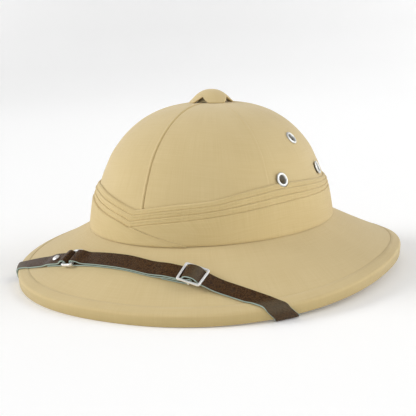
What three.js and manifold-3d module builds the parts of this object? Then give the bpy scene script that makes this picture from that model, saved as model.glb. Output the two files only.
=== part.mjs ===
// Pith helmet: a cloth-covered shell with a pleated band, a top vent, eyelets and a leather chin strap.
// Millimetres and degrees, +Z up, front of the helmet towards -Y, the wearer's left towards +X.
// Angles round the helmet run from the front towards the wearer's left.
import * as THREE from 'three';
import { mergeVertices } from 'three/addons/utils/BufferGeometryUtils.js';
import Module from 'manifold-3d';

const wasm = await Module();
wasm.setup();

// Clearance between pieces that touch
const piece_gap = 0.3;
const cloth_gap = 0.4;

// Brim, seen from above
const brim_length = 340;
const brim_width = 295;
const brim_squareness = 2.19;

// Brim, seen from the side: drop from the crown's root to the rim's lower edge
const brim_drop = 37.9;
const brim_dip_at_ends = 3.5;
const brim_dip_beside_front = 1.28;
const brim_sag = 0.6;
const brim_thickness = 4.2;

// Rim: a turned-down lip under a stitched crease
const crease_inset = 7.8;
const crease_rise = 11.6;
const lip_height = 8.6;
const lip_overhang = 0.6;
const lip_thickness = 5.6;
const lip_shoulder_round = 2.6;
const lip_edge_round = 1.2;
const binding_cloth = 1.0;

// Crown, at its root on the brim
const crown_length = 228.8;
const crown_width = 187;
const crown_height = 93.5;
const crown_squareness = 1.95;
const crown_plan_fullness = 2.66;
const crown_side_fullness = 1.78;
const crown_wall = 4;
const crown_forward = 0.6;
const crown_lean = 0.014;
const inner_corner_round = 6;
const brim_neck = 5;

// Pleated band, heights above the crown's root
const band_height = 38;
const band_seat = 0.9;
const band_cloth = 1.1;
const band_foot = 1.1;
const pleat_count = 3;
const pleat_ridge = 0.5;
const band_flare = 1.3;
const overlap_rise = 0.7;
const crossing_angle = -3;
const overlap_angle = 19;

// Upper edge of the band and its lowest pleat, as shares of the band's height
const band_left_rows = [
  { degrees: -4, upper_edge: 0.62, lowest_pleat: 0.28 },
  { degrees: 14, upper_edge: 0.73, lowest_pleat: 0.4 },
  { degrees: 33, upper_edge: 0.8, lowest_pleat: 0.49 },
  { degrees: 47, upper_edge: 0.91, lowest_pleat: 0.55 },
  { degrees: 63, upper_edge: 0.99, lowest_pleat: 0.61 },
  { degrees: 95, upper_edge: 1, lowest_pleat: 0.65 },
  { degrees: 180, upper_edge: 1, lowest_pleat: 0.66 },
];
const band_right_rows = [
  { degrees: 4, upper_edge: 0.62, lowest_pleat: 0.28 },
  { degrees: 10, upper_edge: 0.68, lowest_pleat: 0.35 },
  { degrees: 18, upper_edge: 0.76, lowest_pleat: 0.41 },
  { degrees: 30, upper_edge: 0.86, lowest_pleat: 0.49 },
  { degrees: 40, upper_edge: 0.95, lowest_pleat: 0.59 },
  { degrees: 55, upper_edge: 1, lowest_pleat: 0.64 },
  { degrees: 180, upper_edge: 1, lowest_pleat: 0.66 },
];

// Top vent
const vent_hole_radius = 9;
const cap_radius = 17.6;
const cap_height = 10.4;
const cap_wall = 2;
const cap_profile = 2.2;
const cap_arm_width = 13;
const cap_arch_height = 4.5;
const cap_turn = 42;
const collar_flange_radius = 11;
const collar_flange = 1;
const collar_rise = 2.6;
const collar_wall = 2;
const collar_depth = 4.6;

// Eyelets
const eyelet_radius = 5.5;
const eyelet_hole_radius = 3.3;
const eyelet_barrel_wall = 0.6;
const eyelet_flange = 1.1;
const eyelet_tail = 0.7;
const eyelet_spots = [
  { name: 'top', degrees: 89, height_share: 0.706 },
  { name: 'front', degrees: 67, height_share: 0.421 },
  { name: 'back', degrees: 102, height_share: 0.433 },
];

// Chin strap, laid over the front of the brim
const strap_width = 12.7;
const strap_thickness = 1.3;
const strap_ease = 0.25;
const strap_slant_kept = 0.58;
const strap_turn_run = 2.5;
const swing_before_rim = 11;
const swing_past_crease = 3;
const strap_anchor_angle = 80;
const strap_anchor_height = 16;
const strap_end_margin = 7;
const strap_end_x = 30;
const strap_tail_x = -75.5;

// Middle line of the strap over the brim: distance to the wearer's left, and behind the brim's front
const strap_line_rows = [
  { to_left: -125, set_back: 61 },
  { to_left: -100, set_back: 55.4 },
  { to_left: -80, set_back: 50.2 },
  { to_left: -51, set_back: 43.4 },
  { to_left: -20, set_back: 39.2 },
  { to_left: 0, set_back: 37.8 },
  { to_left: 22, set_back: 36.8 },
  { to_left: 51, set_back: 39.6 },
  { to_left: 75, set_back: 43 },
  { to_left: 125, set_back: 50.4 },
];

// Ring, stud, buckle and hidden fixings of the strap
const ring_x = -51;
const ring_length = 10.8;
const ring_width = 18;
const ring_wire = 1.8;
const stud_x = -69;
const stud_radius = 2.9;
const stud_height = 1.5;
const pin_radius = 1;
const buckle_x = 51;
const buckle_length = 18;
const buckle_width = 17.2;
const buckle_bar = 1.6;
const buckle_thickness = 1.3;
const buckle_turn = -5;
const rivet_radius = 3.6;
const rivet_head = 1.2;
const rivet_depth = 2.6;
const pin_sides = 12;

// Steps of the faceted surfaces
const stations_round = 46;

const radians = THREE.MathUtils.degToRad;
const lerp = THREE.MathUtils.lerp;

const leather = { color: 0x3a2419, roughness: 0.5, metalness: 0 };
const cloth = { color: 0xcdb887, roughness: 0.9, metalness: 0 };
const band_finish = { color: 0xc9b27c, roughness: 0.9, metalness: 0 };
const metal = { color: 0xc8cacb, roughness: 0.28, metalness: 1 };

// Small numeric helpers

function signedPower(value, power) {
  return Math.sign(value) * Math.abs(value) ** power;
}

function easeBetween(low, high, value) {
  const share = THREE.MathUtils.clamp((value - low) / (high - low), 0, 1);
  return share * share * (3 - 2 * share);
}

function bisect(rising, low, high) {
  let a = low;
  let b = high;
  for (let step = 0; step < 40; step += 1) {
    const middle = (a + b) / 2;
    if (rising(middle) > 0) b = middle;
    else a = middle;
  }
  return (a + b) / 2;
}

function steps(from, to, count) {
  return Array.from({ length: count + 1 }, (_, index) => lerp(from, to, index / count));
}

// Value of one column of a table of rows, smooth between them
function fromRows(rows, column, value, order = 'degrees') {
  const last = rows.length - 1;
  let index = 0;
  while (index < last - 1 && value > rows[index + 1][order]) index += 1;
  const a = rows[index];
  const b = rows[index + 1];
  const span = b[order] - a[order];
  const share = THREE.MathUtils.clamp((value - a[order]) / span, 0, 1);
  const before = rows[Math.max(index - 1, 0)];
  const after = rows[Math.min(index + 2, last)];
  const slope_a = (b[column] - before[column]) / (b[order] - before[order]) * span;
  const slope_b = (after[column] - a[column]) / (after[order] - a[order]) * span;
  const square = share * share;
  const cube = square * share;
  return a[column] * (2 * cube - 3 * square + 1) + slope_a * (cube - 2 * square + share)
    + b[column] * (3 * square - 2 * cube) + slope_b * (cube - square);
}

// Closed bodies from rows of points

// Makes a geometry of points and triangles, with the triangles turned outwards
function closedBody(points, triangles) {
  let volume = 0;
  for (const [a, b, c] of triangles) {
    volume += points[a].dot(new THREE.Vector3().crossVectors(points[b], points[c]));
  }
  const outward = volume > 0 ? triangles : triangles.map(([a, b, c]) => [a, c, b]);
  const geometry = new THREE.BufferGeometry();
  geometry.setAttribute('position', new THREE.Float32BufferAttribute(points.flatMap((p) => p.toArray()), 3));
  geometry.setIndex(outward.flat());
  return geometry;
}

// Joins neighbouring rows of points; every row is a closed loop of the same length
function loftLoops(loops, closed) {
  const size = loops[0].length;
  const points = loops.flat();
  const triangles = [];
  const spans = closed ? loops.length : loops.length - 1;
  for (let row = 0; row < spans; row += 1) {
    const next = (row + 1) % loops.length;
    for (let column = 0; column < size; column += 1) {
      const beside = (column + 1) % size;
      const a = row * size + column;
      const b = row * size + beside;
      const c = next * size + beside;
      const d = next * size + column;
      triangles.push([a, b, c], [a, c, d]);
    }
  }
  if (!closed) {
    const ends = [loops[0], loops[loops.length - 1]];
    ends.forEach((loop, end) => {
      const start = end * (loops.length - 1) * size;
      // A slender end is closed by a strip between its two halves
      let low = 0;
      let high = size - 1;
      while (low + 1 < high) {
        const raise = loop[low + 1].distanceTo(loop[high]) <= loop[low].distanceTo(loop[high - 1]);
        const third = raise ? low + 1 : high - 1;
        const cap = [start + low, start + high, start + third];
        triangles.push(end ? [cap[0], cap[2], cap[1]] : cap);
        if (raise) low += 1;
        else high -= 1;
      }
    });
  }
  return closedBody(points, triangles);
}

function toSolid(geometry) {
  const bare = new THREE.BufferGeometry();
  bare.setAttribute('position', geometry.getAttribute('position').clone());
  if (geometry.index) bare.setIndex(geometry.index.clone());
  const merged = mergeVertices(bare, 1e-4);
  return new wasm.Manifold(new wasm.Mesh({
    numProp: 3,
    vertProperties: new Float32Array(merged.getAttribute('position').array),
    triVerts: new Uint32Array(merged.index.array),
  }));
}

function toGeometry(solid) {
  const { vertProperties, triVerts } = solid.getMesh();
  const geometry = new THREE.BufferGeometry();
  geometry.setAttribute('position', new THREE.BufferAttribute(vertProperties, 3));
  geometry.setIndex(new THREE.BufferAttribute(triVerts, 1));
  return geometry;
}

// Turns a round profile about an axis at a place; the profile's second number runs along the axis
function turned(profile, sides, place, axis) {
  const geometry = new THREE.LatheGeometry(profile.map(([r, z]) => new THREE.Vector2(r, z)), sides);
  geometry.applyQuaternion(new THREE.Quaternion().setFromUnitVectors(new THREE.Vector3(0, 1, 0), axis));
  geometry.translate(place.x, place.y, place.z);
  return geometry;
}

// A round rod along an axis, used as a piece or to bore a hole
function rod(radius, from, to, sides, place, axis) {
  return turned([[0, from], [radius, from], [radius, to], [0, to]], sides, place, axis);
}

// Shape of the brim and the crown

const half_length = brim_length / 2;
const half_width = brim_width / 2;

// Drop of the rim's lower edge under the crown's root
function rimDrop(t) {
  return brim_drop + brim_dip_at_ends * Math.cos(2 * t)
    + brim_dip_beside_front * (Math.cos(t) - Math.cos(3 * t));
}

// A point by its distance in from the rim's edge and its height over the rim's lower edge
function rimPoint(t, inset, up) {
  const across = half_length * Math.sin(t);
  const along = half_width * Math.cos(t);
  const size = Math.hypot(across, along);
  const x = half_width * signedPower(Math.sin(t), 2 / brim_squareness) - inset * across / size;
  const y = -half_length * signedPower(Math.cos(t), 2 / brim_squareness) + inset * along / size;
  return new THREE.Vector3(x, y, up - rimDrop(t));
}

// A point of the crown's outside; climb is 0 at its root and 1 at its top
function crownPoint(t, climb) {
  const angle = climb * Math.PI / 2;
  const spread = Math.cos(angle) ** (2 / crown_plan_fullness);
  const rise = crown_height * Math.sin(angle) ** (2 / crown_side_fullness);
  const x = crown_width / 2 * signedPower(Math.sin(t), 2 / crown_squareness) * spread;
  const y = -crown_length / 2 * signedPower(Math.cos(t), 2 / crown_squareness) * spread;
  return new THREE.Vector3(x, y - crown_forward - crown_lean * rise, rise);
}

function climbAtHeight(height) {
  const rise = Math.max(height, 0) / crown_height;
  return Math.asin(rise ** (crown_side_fullness / 2)) * 2 / Math.PI;
}

function crownNormal(t, climb) {
  const small = 0.01;
  const round = crownPoint(t + small, climb).sub(crownPoint(t - small, climb));
  const up = crownPoint(t, climb + small).sub(crownPoint(t, Math.max(climb - small, 0)));
  return round.cross(up).normalize();
}

// A point at some distance outside (or, below zero, inside) the crown's surface
function crownSkin(t, climb, offset) {
  return crownPoint(t, climb).addScaledVector(crownNormal(t, climb), offset);
}

// Under the band the crown is drawn in a little, so that the band stands less proud
function crownOutside(t, climb) {
  const height = crownPoint(t, climb).z;
  return crownSkin(t, climb, -band_seat * (1 - easeBetween(1.15 * band_height, 1.5 * band_height, height)));
}

// Height of the crown's top over a point near its middle
function crownTopHeight(x, y) {
  const along = (y + crown_forward + crown_lean * crown_height) / (crown_length / 2);
  const spread = Math.hypot(x / (crown_width / 2), along);
  const angle = Math.acos(spread ** (crown_plan_fullness / 2));
  return crown_height * Math.sin(angle) ** (2 / crown_side_fullness);
}

const crown_middle = new THREE.Vector3(0, -crown_forward - crown_lean * crown_height, 0);

function crownTopCircle(t, radius, lift) {
  const x = radius * Math.sin(t);
  const y = crown_middle.y - radius * Math.cos(t);
  return new THREE.Vector3(x, y, crownTopHeight(x, y) + lift);
}

// The brim's upper face, from the crown's root (share 0) to the crease (share 1)
function brimTop(t, share) {
  const point = crownPoint(t, 0).lerp(rimPoint(t, crease_inset, crease_rise), share);
  point.z -= 4 * brim_sag * share * (1 - share);
  return point;
}

// Slope of the brim and its thickness measured upright, at an angle round it
function brimSlope(t) {
  const root = crownPoint(t, 0);
  const crease = rimPoint(t, crease_inset, crease_rise);
  const run = Math.hypot(crease.x - root.x, crease.y - root.y);
  const slope = (root.z - crease.z) / run;
  return { slope, upright: brim_thickness * Math.hypot(1, slope) };
}

// Corners of the lip in its own section: distance in from the edge, height, and rounding
function lipCorners(t) {
  const { slope, upright } = brimSlope(t);
  const under = crease_rise - upright - slope * (crease_inset - lip_thickness);
  return [
    { inset: crease_inset, up: crease_rise, round: 0 },
    { inset: -lip_overhang, up: lip_height, round: lip_shoulder_round },
    { inset: 0, up: 0, round: lip_edge_round },
    { inset: lip_thickness, up: 0, round: lip_edge_round },
    { inset: lip_thickness, up: under, round: 0 },
  ];
}

// The lip's outline, sunk by some depth into the material, with rounded corners
function lipOutline(t, depth, arc_steps) {
  const corners = lipCorners(t);
  const moved = corners.map((corner, index) => {
    const before = corners[Math.max(index - 1, 0)];
    const after = corners[Math.min(index + 1, corners.length - 1)];
    const into = new THREE.Vector2(corner.inset - before.inset, corner.up - before.up).normalize();
    const out = new THREE.Vector2(after.inset - corner.inset, after.up - corner.up).normalize();
    if (index === 0) into.copy(out);
    if (index === corners.length - 1) out.copy(into);
    const inward = new THREE.Vector2(-into.y - out.y, into.x + out.x).normalize();
    const miter = depth / Math.max(inward.dot(new THREE.Vector2(-into.y, into.x)), 0.3);
    return { at: new THREE.Vector2(corner.inset, corner.up).addScaledVector(inward, miter), round: corner.round };
  });
  return moved.flatMap(({ at, round }, index) => {
    if (round === 0) return [at];
    const radius = Math.max(round - depth, 0.3);
    const back = at.clone().sub(moved[index - 1].at);
    const on = moved[index + 1].at.clone().sub(at);
    const turn = Math.abs(back.angleTo(on));
    const reach = radius * Math.tan(turn / 2);
    const first = at.clone().addScaledVector(back.normalize(), -reach);
    const second = at.clone().addScaledVector(on.normalize(), reach);
    const curve = new THREE.QuadraticBezierCurve(first, at, second);
    return steps(0, 1, arc_steps).map((share) => curve.getPoint(share));
  });
}

// The brim's underside, from the corner inside the crown (share 0) to the lip (share 1)
function insideCorner(t) {
  const { slope, upright } = brimSlope(t);
  const corner = crownSkin(t, 0, -crown_wall);
  corner.z = slope * crown_wall - upright;
  return corner;
}

function brimUnder(t, share) {
  const { slope, upright } = brimSlope(t);
  const inset = lip_thickness - binding_cloth - cloth_gap;
  const up = crease_rise - upright - slope * (crease_inset - inset);
  return insideCorner(t).lerp(rimPoint(t, inset, up), share);
}

// The rounded corner where the underside turns up into the crown, from the underside to the wall
function insideTurn(t, arc_steps) {
  const corner = insideCorner(t);
  const outward = brimUnder(t, 1).sub(corner).setLength(inner_corner_round).add(corner);
  const above = crownSkin(t, climbAtHeight(corner.z + inner_corner_round), -crown_wall);
  const curve = new THREE.QuadraticBezierCurve3(outward, corner, above);
  return steps(0, 1, arc_steps).map((share) => curve.getPoint(share));
}

// Crown and brim, joined edge to edge behind the foot of the band

const angles_round = Array.from({ length: stations_round }, (_, i) => 2 * Math.PI * (i + 0.5) / stations_round);
const crown_climbs = [0.13, 0.25, 0.37, 0.49, 0.61, 0.73, 0.83, 0.91];
const inside_climbs = [0.25, 0.45, 0.66, 0.86];

// The brim's underside and the inside of the crown, from the lip upwards
function undersidePath(t) {
  const under = [1, 0.55].map((share) => brimUnder(t, share));
  const inside = inside_climbs.map((climb) => crownSkin(t, climb, -crown_wall));
  return [...under, ...insideTurn(t, 2), ...inside];
}

function crownSection(t) {
  const foot = climbAtHeight(brim_neck + piece_gap / 2);
  const outside = [foot, ...crown_climbs].map((climb) => crownOutside(t, climb)).reverse();
  const inside = [foot, ...inside_climbs].map((climb) => crownSkin(t, climb, -crown_wall));
  const hole_top = crownTopCircle(t, vent_hole_radius, 0);
  const hole_bottom = crownTopCircle(t, vent_hole_radius, -crown_wall);
  return [hole_top, ...outside, ...inside, hole_bottom];
}

function brimSection(t) {
  const neck = climbAtHeight(brim_neck - piece_gap / 2);
  const rebate_share = 1 - cloth_gap / brimTop(t, 0).distanceTo(brimTop(t, 1));
  const rebate_depth = binding_cloth + cloth_gap;
  const top = [0.35, 0.7, rebate_share].map((share) => brimTop(t, share));
  const root = crownSkin(t, 0, -band_seat).setZ(0);
  const step = brimTop(t, rebate_share);
  step.z -= rebate_depth * 1.1;
  const core = lipOutline(t, rebate_depth, 1).slice(1, -1).map((at) => rimPoint(t, at.x, at.y));
  const under = undersidePath(t).slice(0, -inside_climbs.length);
  const ends = [crownSkin(t, neck, -crown_wall), crownSkin(t, neck, -band_seat)];
  return [root, ...top, step, ...core, ...under, ...ends];
}

function eyeletPlace(spot, side) {
  const t = radians(spot.degrees) * side;
  const climb = climbAtHeight(spot.height_share * crown_height);
  return { point: crownPoint(t, climb), axis: crownNormal(t, climb) };
}

const eyelet_places = [1, -1].flatMap((side) => eyelet_spots.map((spot) => ({
  name: `eyelet_${side > 0 ? 'left' : 'right'}_${spot.name}`,
  ...eyeletPlace(spot, side),
})));
const eyelet_barrel_radius = eyelet_hole_radius + eyelet_barrel_wall;
const eyelet_sides = 12;

function makeCrown() {
  let body = toSolid(loftLoops(angles_round.map(crownSection), true));
  for (const along of rivet_spots) body = body.subtract(toSolid(pinBore(along, rivet_depth + piece_gap)));
  const bore_radius = (eyelet_barrel_radius + piece_gap) / Math.cos(Math.PI / eyelet_sides);
  for (const { point, axis } of eyelet_places) {
    body = body.subtract(toSolid(rod(bore_radius, -2 * crown_wall, crown_wall, eyelet_sides, point, axis)));
  }
  return toGeometry(body);
}

// Cloth binding folded over the rim

function bindingSection(t) {
  const outer = lipOutline(t, 0, 2).slice(0, -1);
  const inner = lipOutline(t, binding_cloth, 1).slice(0, -1);
  const { up } = lipCorners(t).at(-1);
  const end_up = up - piece_gap - cloth_gap;
  outer.push(new THREE.Vector2(lip_thickness, end_up));
  inner.push(new THREE.Vector2(lip_thickness - binding_cloth, end_up));
  return [...outer, ...inner.reverse()].map((at) => rimPoint(t, at.x, at.y));
}

// Pleated band in two wraps

// Section of a wrap at one angle: outline rows with their height and distance from the crown
function bandRows(rows, degrees, lower_rise) {
  const upper = band_height * fromRows(rows, 'upper_edge', degrees);
  const lowest = band_height * fromRows(rows, 'lowest_pleat', degrees);
  const inner = 1.7 * cloth_gap - band_seat;
  const face = inner + band_cloth;
  const list = [{ height: upper, offset: inner }, { height: upper, offset: face }];
  for (let pleat = 1; pleat <= pleat_count; pleat += 1) {
    const height = lerp(upper, lowest, pleat / pleat_count);
    list.push({ height: height + pleat_ridge, offset: face - pleat_ridge * 0.6 });
    list.push({ height, offset: face + (pleat === pleat_count ? pleat_ridge * 0.6 + lower_rise : 0) });
  }
  list.push({ height: lowest * 0.6, offset: face + lower_rise });
  list.push({ height: lowest * 0.3, offset: face + band_flare * 0.35 + lower_rise });
  list.push({ height: band_foot, offset: face + band_flare + lower_rise });
  list.push({ height: band_foot, offset: inner + band_flare * 0.8 });
  list.push({ height: lowest * 0.3, offset: inner });
  list.push({ height: lowest * 0.6, offset: inner });
  list.push({ height: lowest, offset: inner });
  list.push({ height: (lowest + upper) / 2, offset: inner });
  return list;
}

// Front end of the wraps' meeting line: straight up the pleats, then slanting across the front
function meetingAngle(height, lowest) {
  const share = Math.max((lowest - height) / (lowest - band_foot), 0);
  return lerp(crossing_angle, overlap_angle, share);
}

function makeWrap(side) {
  const rows = side > 0 ? band_left_rows : band_right_rows;
  const seam_gap = THREE.MathUtils.radToDeg(cloth_gap / (crown_length / 2));
  const lower_rise = side > 0 ? 0 : overlap_rise;
  const front_lowest = band_height * fromRows(band_left_rows, 'lowest_pleat', 0);
  const rowAt = (degrees, index) => bandRows(rows, Math.max(degrees, rows[0].degrees), lower_rise)[index];
  const row_count = bandRows(rows, 0, lower_rise).length;
  const fronts = Array.from({ length: row_count }, (_, index) => {
    const past = (degrees) => {
      const height = rowAt(degrees, index).height - side * cloth_gap;
      return degrees - side * meetingAngle(height, front_lowest);
    };
    return bisect(past, -2 * overlap_angle, 2 * overlap_angle) + 1.5 * seam_gap;
  });
  const spread = 2 * overlap_angle;
  const near = steps(0, 1, 8).map((share) => fronts.map((front) => lerp(front, spread, share)));
  const back = THREE.MathUtils.radToDeg(Math.PI) - seam_gap;
  const far = angles_round.map((t) => THREE.MathUtils.radToDeg(t))
    .filter((degrees) => degrees > spread + seam_gap && degrees < back - seam_gap)
    .map((degrees) => fronts.map(() => degrees));
  const last = fronts.map(() => back);
  const loops = [...near, ...far, last].map((row_degrees) => row_degrees.map((degrees, index) => {
    const { height, offset } = rowAt(degrees, index);
    return crownSkin(side * radians(degrees), climbAtHeight(height), offset);
  }));
  let body = toSolid(loftLoops(loops, false));
  const clear = (eyelet_radius + cloth_gap) / Math.cos(Math.PI / eyelet_sides);
  for (const { point, axis } of eyelet_places) {
    body = body.subtract(toSolid(rod(clear, -crown_wall, 2 * crown_wall, eyelet_sides, point, axis)));
  }
  return toGeometry(body);
}

// Vent cap: a small dome on four arms, arched between them

const cap_sides = 32;
const cap_arm_half_angle = Math.asin(cap_arm_width / 2 / cap_radius);

function makeVentCap() {
  const gap_half_angle = Math.PI / 4 - cap_arm_half_angle;
  const rings = 4;
  const inner_height = cap_height - cap_wall;
  const inner_radius = cap_radius - cap_wall;
  const foot = crownTopCircle(radians(cap_turn), cap_radius, piece_gap).z;
  const points = [];
  const addPoint = (x, y, z) => points.push(new THREE.Vector3(x, y + crown_middle.y, z)) - 1;
  const outer_top = addPoint(0, 0, foot + cap_height);
  const inner_top = addPoint(0, 0, foot + inner_height);
  const columns = Array.from({ length: cap_sides }, (_, index) => {
    const t = radians(cap_turn) + 2 * Math.PI * index / cap_sides;
    const from_arm = Math.abs(((index / cap_sides * 4 + 0.5) % 1) - 0.5) * Math.PI / 2;
    const arch = Math.max(0, 1 - (Math.PI / 4 - from_arm) / gap_half_angle) * cap_arch_height;
    const addRow = (radius, height) => {
      const ground = crownTopCircle(t, radius, piece_gap).z - foot;
      const edge = radius * (1 - (arch + ground) / height) ** (1 / cap_profile);
      return steps(0, 1, rings).slice(1).map((share) => {
        const r = edge * share;
        return addPoint(r * Math.sin(t), -r * Math.cos(t), foot + height * (1 - (r / radius) ** cap_profile));
      });
    };
    return { outer: addRow(cap_radius, cap_height), inner: addRow(inner_radius, inner_height) };
  });
  const triangles = [];
  columns.forEach((column, index) => {
    const next = columns[(index + 1) % cap_sides];
    triangles.push([outer_top, column.outer[0], next.outer[0]], [inner_top, next.inner[0], column.inner[0]]);
    const quad = (a, b, c, d) => triangles.push([a, b, c], [a, c, d]);
    for (let ring = 0; ring < rings - 1; ring += 1) {
      quad(column.outer[ring], column.outer[ring + 1], next.outer[ring + 1], next.outer[ring]);
      quad(column.inner[ring], next.inner[ring], next.inner[ring + 1], column.inner[ring + 1]);
    }
    quad(column.outer[rings - 1], column.inner[rings - 1], next.inner[rings - 1], next.outer[rings - 1]);
  });
  return closedBody(points, triangles);
}

function makeVentCollar() {
  const outer = vent_hole_radius - piece_gap;
  const inner = outer - collar_wall;
  const profile = [
    [inner, -collar_depth],
    [outer, -collar_depth],
    [outer, piece_gap],
    [collar_flange_radius, piece_gap],
    [collar_flange_radius, piece_gap + collar_flange],
    [outer, collar_rise],
    [inner, collar_rise],
    [inner, -collar_depth],
  ];
  const place = crown_middle.clone().setZ(crown_height);
  return turned(profile, 24, place, new THREE.Vector3(0, 0, 1));
}

function makeEyelet({ point, axis }) {
  const profile = [
    [eyelet_hole_radius, -crown_wall - eyelet_tail],
    [eyelet_barrel_radius, -crown_wall - eyelet_tail],
    [eyelet_barrel_radius, piece_gap],
    [eyelet_radius, piece_gap],
    [eyelet_radius * 0.82, piece_gap + eyelet_flange],
    [eyelet_hole_radius * 1.08, piece_gap + eyelet_flange * 0.8],
    [eyelet_hole_radius, piece_gap],
    [eyelet_hole_radius, -crown_wall - eyelet_tail],
  ];
  return turned(profile, eyelet_sides, point, axis);
}

// Lane of the strap: along it, across it, and height over the helmet's skin

// Section of the skin from the crease round the lip to the inside of the crown
function skinPath(t) {
  const rim = lipOutline(t, 0, 6).slice(0, -6).map((at) => rimPoint(t, at.x, at.y));
  return [...rim, ...undersidePath(t).slice(1)];
}

// The skin seen from the lane, by the distance outwards past the crease; below zero it is the brim's top
function skinPoint(t, past) {
  if (past <= 0) {
    const reach = brimTop(t, 0).distanceTo(brimTop(t, 1));
    return brimTop(t, 1 + past / reach);
  }
  const path = skinPath(t);
  let left = past;
  for (let index = 0; index < path.length - 1; index += 1) {
    const span = path[index].distanceTo(path[index + 1]);
    if (left <= span || index === path.length - 2) return path[index].clone().lerp(path[index + 1], left / span);
    left -= span;
  }
  return path.at(-1);
}

function skinFrame(t, past) {
  const small = 0.01;
  const near = 0.6;
  const round = skinPoint(t + small, past).sub(skinPoint(t - small, past));
  const across = skinPoint(t, past + near).sub(skinPoint(t, past - near));
  const speed = round.length() / (2 * small);
  return { point: skinPoint(t, past), normal: across.cross(round).normalize(), speed };
}

// The strap's line over the brim in plan, a little bowed forwards
function strapLine(x) {
  return fromRows(strap_line_rows, 'set_back', x, 'to_left') - half_length;
}

function aheadOfLine(t, past) {
  const point = skinPoint(t, past);
  return point.y - strapLine(point.x);
}

const left_crossing = bisect((t) => aheadOfLine(t, 0), radians(20), radians(80));
const right_crossing = -bisect((t) => aheadOfLine(-t, 0), radians(20), radians(80));

// Distance past the crease at which the skin inside the crown reaches the strap's fixing
function fixingPast(t) {
  const low = cornerPast(t);
  return bisect((past) => skinPoint(t, past).z - strap_anchor_height, low, low + crown_height / 2);
}

// The same for the corner where the brim's underside turns up into the crown
function cornerPast(t) {
  const path = skinPath(t).slice(0, -inside_climbs.length - 1);
  return path.reduce((sum, point, index) => (index ? sum + point.distanceTo(path[index - 1]) : 0), 0);
}

// Stations of the lane from the right fixing over the brim to the left one
const lane_stations = [];
{
  const over = steps(right_crossing, left_crossing, 60).map((t) => {
    const reach = brimTop(t, 0).distanceTo(brimTop(t, 1));
    const past = -bisect((back) => aheadOfLine(t, -back), 0, reach);
    return { t, past };
  });
  const under = (crossing, beside, side) => {
    const slope = (crossing.t - beside.t) / (crossing.past - beside.past);
    const fixing = side * radians(strap_anchor_angle);
    const end = fixingPast(fixing) + strap_end_margin;
    const kept = slope * strap_slant_kept;
    const lost = (slope - kept) * strap_turn_run;
    return steps(0, end, 90).slice(1).map((past) => {
      const share = past / end;
      const square = share * share;
      const cube = square * share;
      const turned_away = lost * (1 - Math.exp(-past / strap_turn_run));
      const t = crossing.t * (2 * cube - 3 * square + 1) + kept * end * (cube - 2 * square + share)
        + (fixing - lost) * (3 * square - 2 * cube);
      return { t: t + turned_away, past };
    });
  };
  const right = under(over[0], over[1], -1).reverse();
  const left = under(over.at(-1), over.at(-2), 1);
  lane_stations.push(...right, ...over, ...left);
  let along = 0;
  lane_stations.forEach((station, index) => {
    station.point = skinPoint(station.t, station.past);
    if (index > 0) along += station.point.distanceTo(lane_stations[index - 1].point);
    station.along = along;
  });
}

function stationAt(along) {
  const last = lane_stations.length - 1;
  let index = 0;
  while (index < last - 1 && along > lane_stations[index + 1].along) index += 1;
  const a = lane_stations[index];
  const b = lane_stations[index + 1];
  const share = (along - a.along) / (b.along - a.along);
  return { t: lerp(a.t, b.t, share), past: lerp(a.past, b.past, share), x: lerp(a.point.x, b.point.x, share) };
}

const lane_end = lane_stations.at(-1).along;
const rivet_spots = [strap_end_margin, lane_end - strap_end_margin];

// Stretch of the strap that is bent closely round the rim
const rim_bend = 30;

// Place along the lane of a point over the brim, by its distance to the wearer's left
function alongAtX(x) {
  const middle = lane_end / 2;
  return bisect((along) => stationAt(along).x - x, middle - brim_width / 3, middle + brim_width / 3);
}

// Near the rim the strap's cross lines swing parallel to the rim, so that it folds over the rim cleanly
function lanePoint(along, across, height) {
  const near = 0.5;
  const before = stationAt(along - near);
  const after = stationAt(along + near);
  const middle = stationAt(along);
  const { speed } = skinFrame(middle.t, middle.past);
  const heading = new THREE.Vector2((after.t - before.t) * speed, after.past - before.past).normalize();
  const square = new THREE.Vector2(heading.y, -heading.x);
  const swing = easeBetween(-swing_before_rim, swing_past_crease, middle.past);
  const cross = square.clone().lerp(new THREE.Vector2(Math.sign(square.x), 0), swing).normalize();
  const reach = across / Math.abs(cross.x * heading.y - cross.y * heading.x);
  const { point, normal } = skinFrame(middle.t + cross.x * reach / speed, middle.past + cross.y * reach);
  return point.addScaledVector(normal, height);
}

// A strap of leather along a route of [along, height] points of its middle line
function strapBody(route) {
  const sides = route.map(([along, height], index) => {
    const [a, b] = [route[Math.max(index - 1, 0)], route[Math.min(index + 1, route.length - 1)]];
    const heading = new THREE.Vector2(b[0] - a[0], b[1] - a[1]).normalize().multiplyScalar(strap_thickness / 2);
    return { upper: [along - heading.y, height + heading.x], lower: [along + heading.y, height - heading.x] };
  });
  const half = strap_width / 2;
  const loops = sides.map(({ upper, lower }) => [
    lanePoint(upper[0], -half, upper[1]),
    lanePoint(upper[0], 0, upper[1]),
    lanePoint(upper[0], half, upper[1]),
    lanePoint(lower[0], half, lower[1]),
    lanePoint(lower[0], 0, lower[1]),
    lanePoint(lower[0], -half, lower[1]),
  ]);
  // Leather is pressed flat where the helmet rests on it
  for (const point of loops.flat()) point.z = Math.max(point.z, -rimDrop(angles_round[0]));
  return loftLoops(loops, false);
}

// Heights of the strap's layers over the brim, at their middle
const layer = piece_gap + strap_thickness;
const layer_one = piece_gap + strap_thickness / 2;
const layer_rim = layer_one + strap_ease;
const layer_two = layer_one + layer;
const layer_three = layer_two + layer;

const ring_middle = alongAtX(ring_x);
const ring_bar = (ring_length - ring_wire) / 2;
const ring_turn = ring_wire * Math.SQRT1_2 + piece_gap + strap_thickness / 2;
const ring_level = layer_one + ring_turn;

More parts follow.
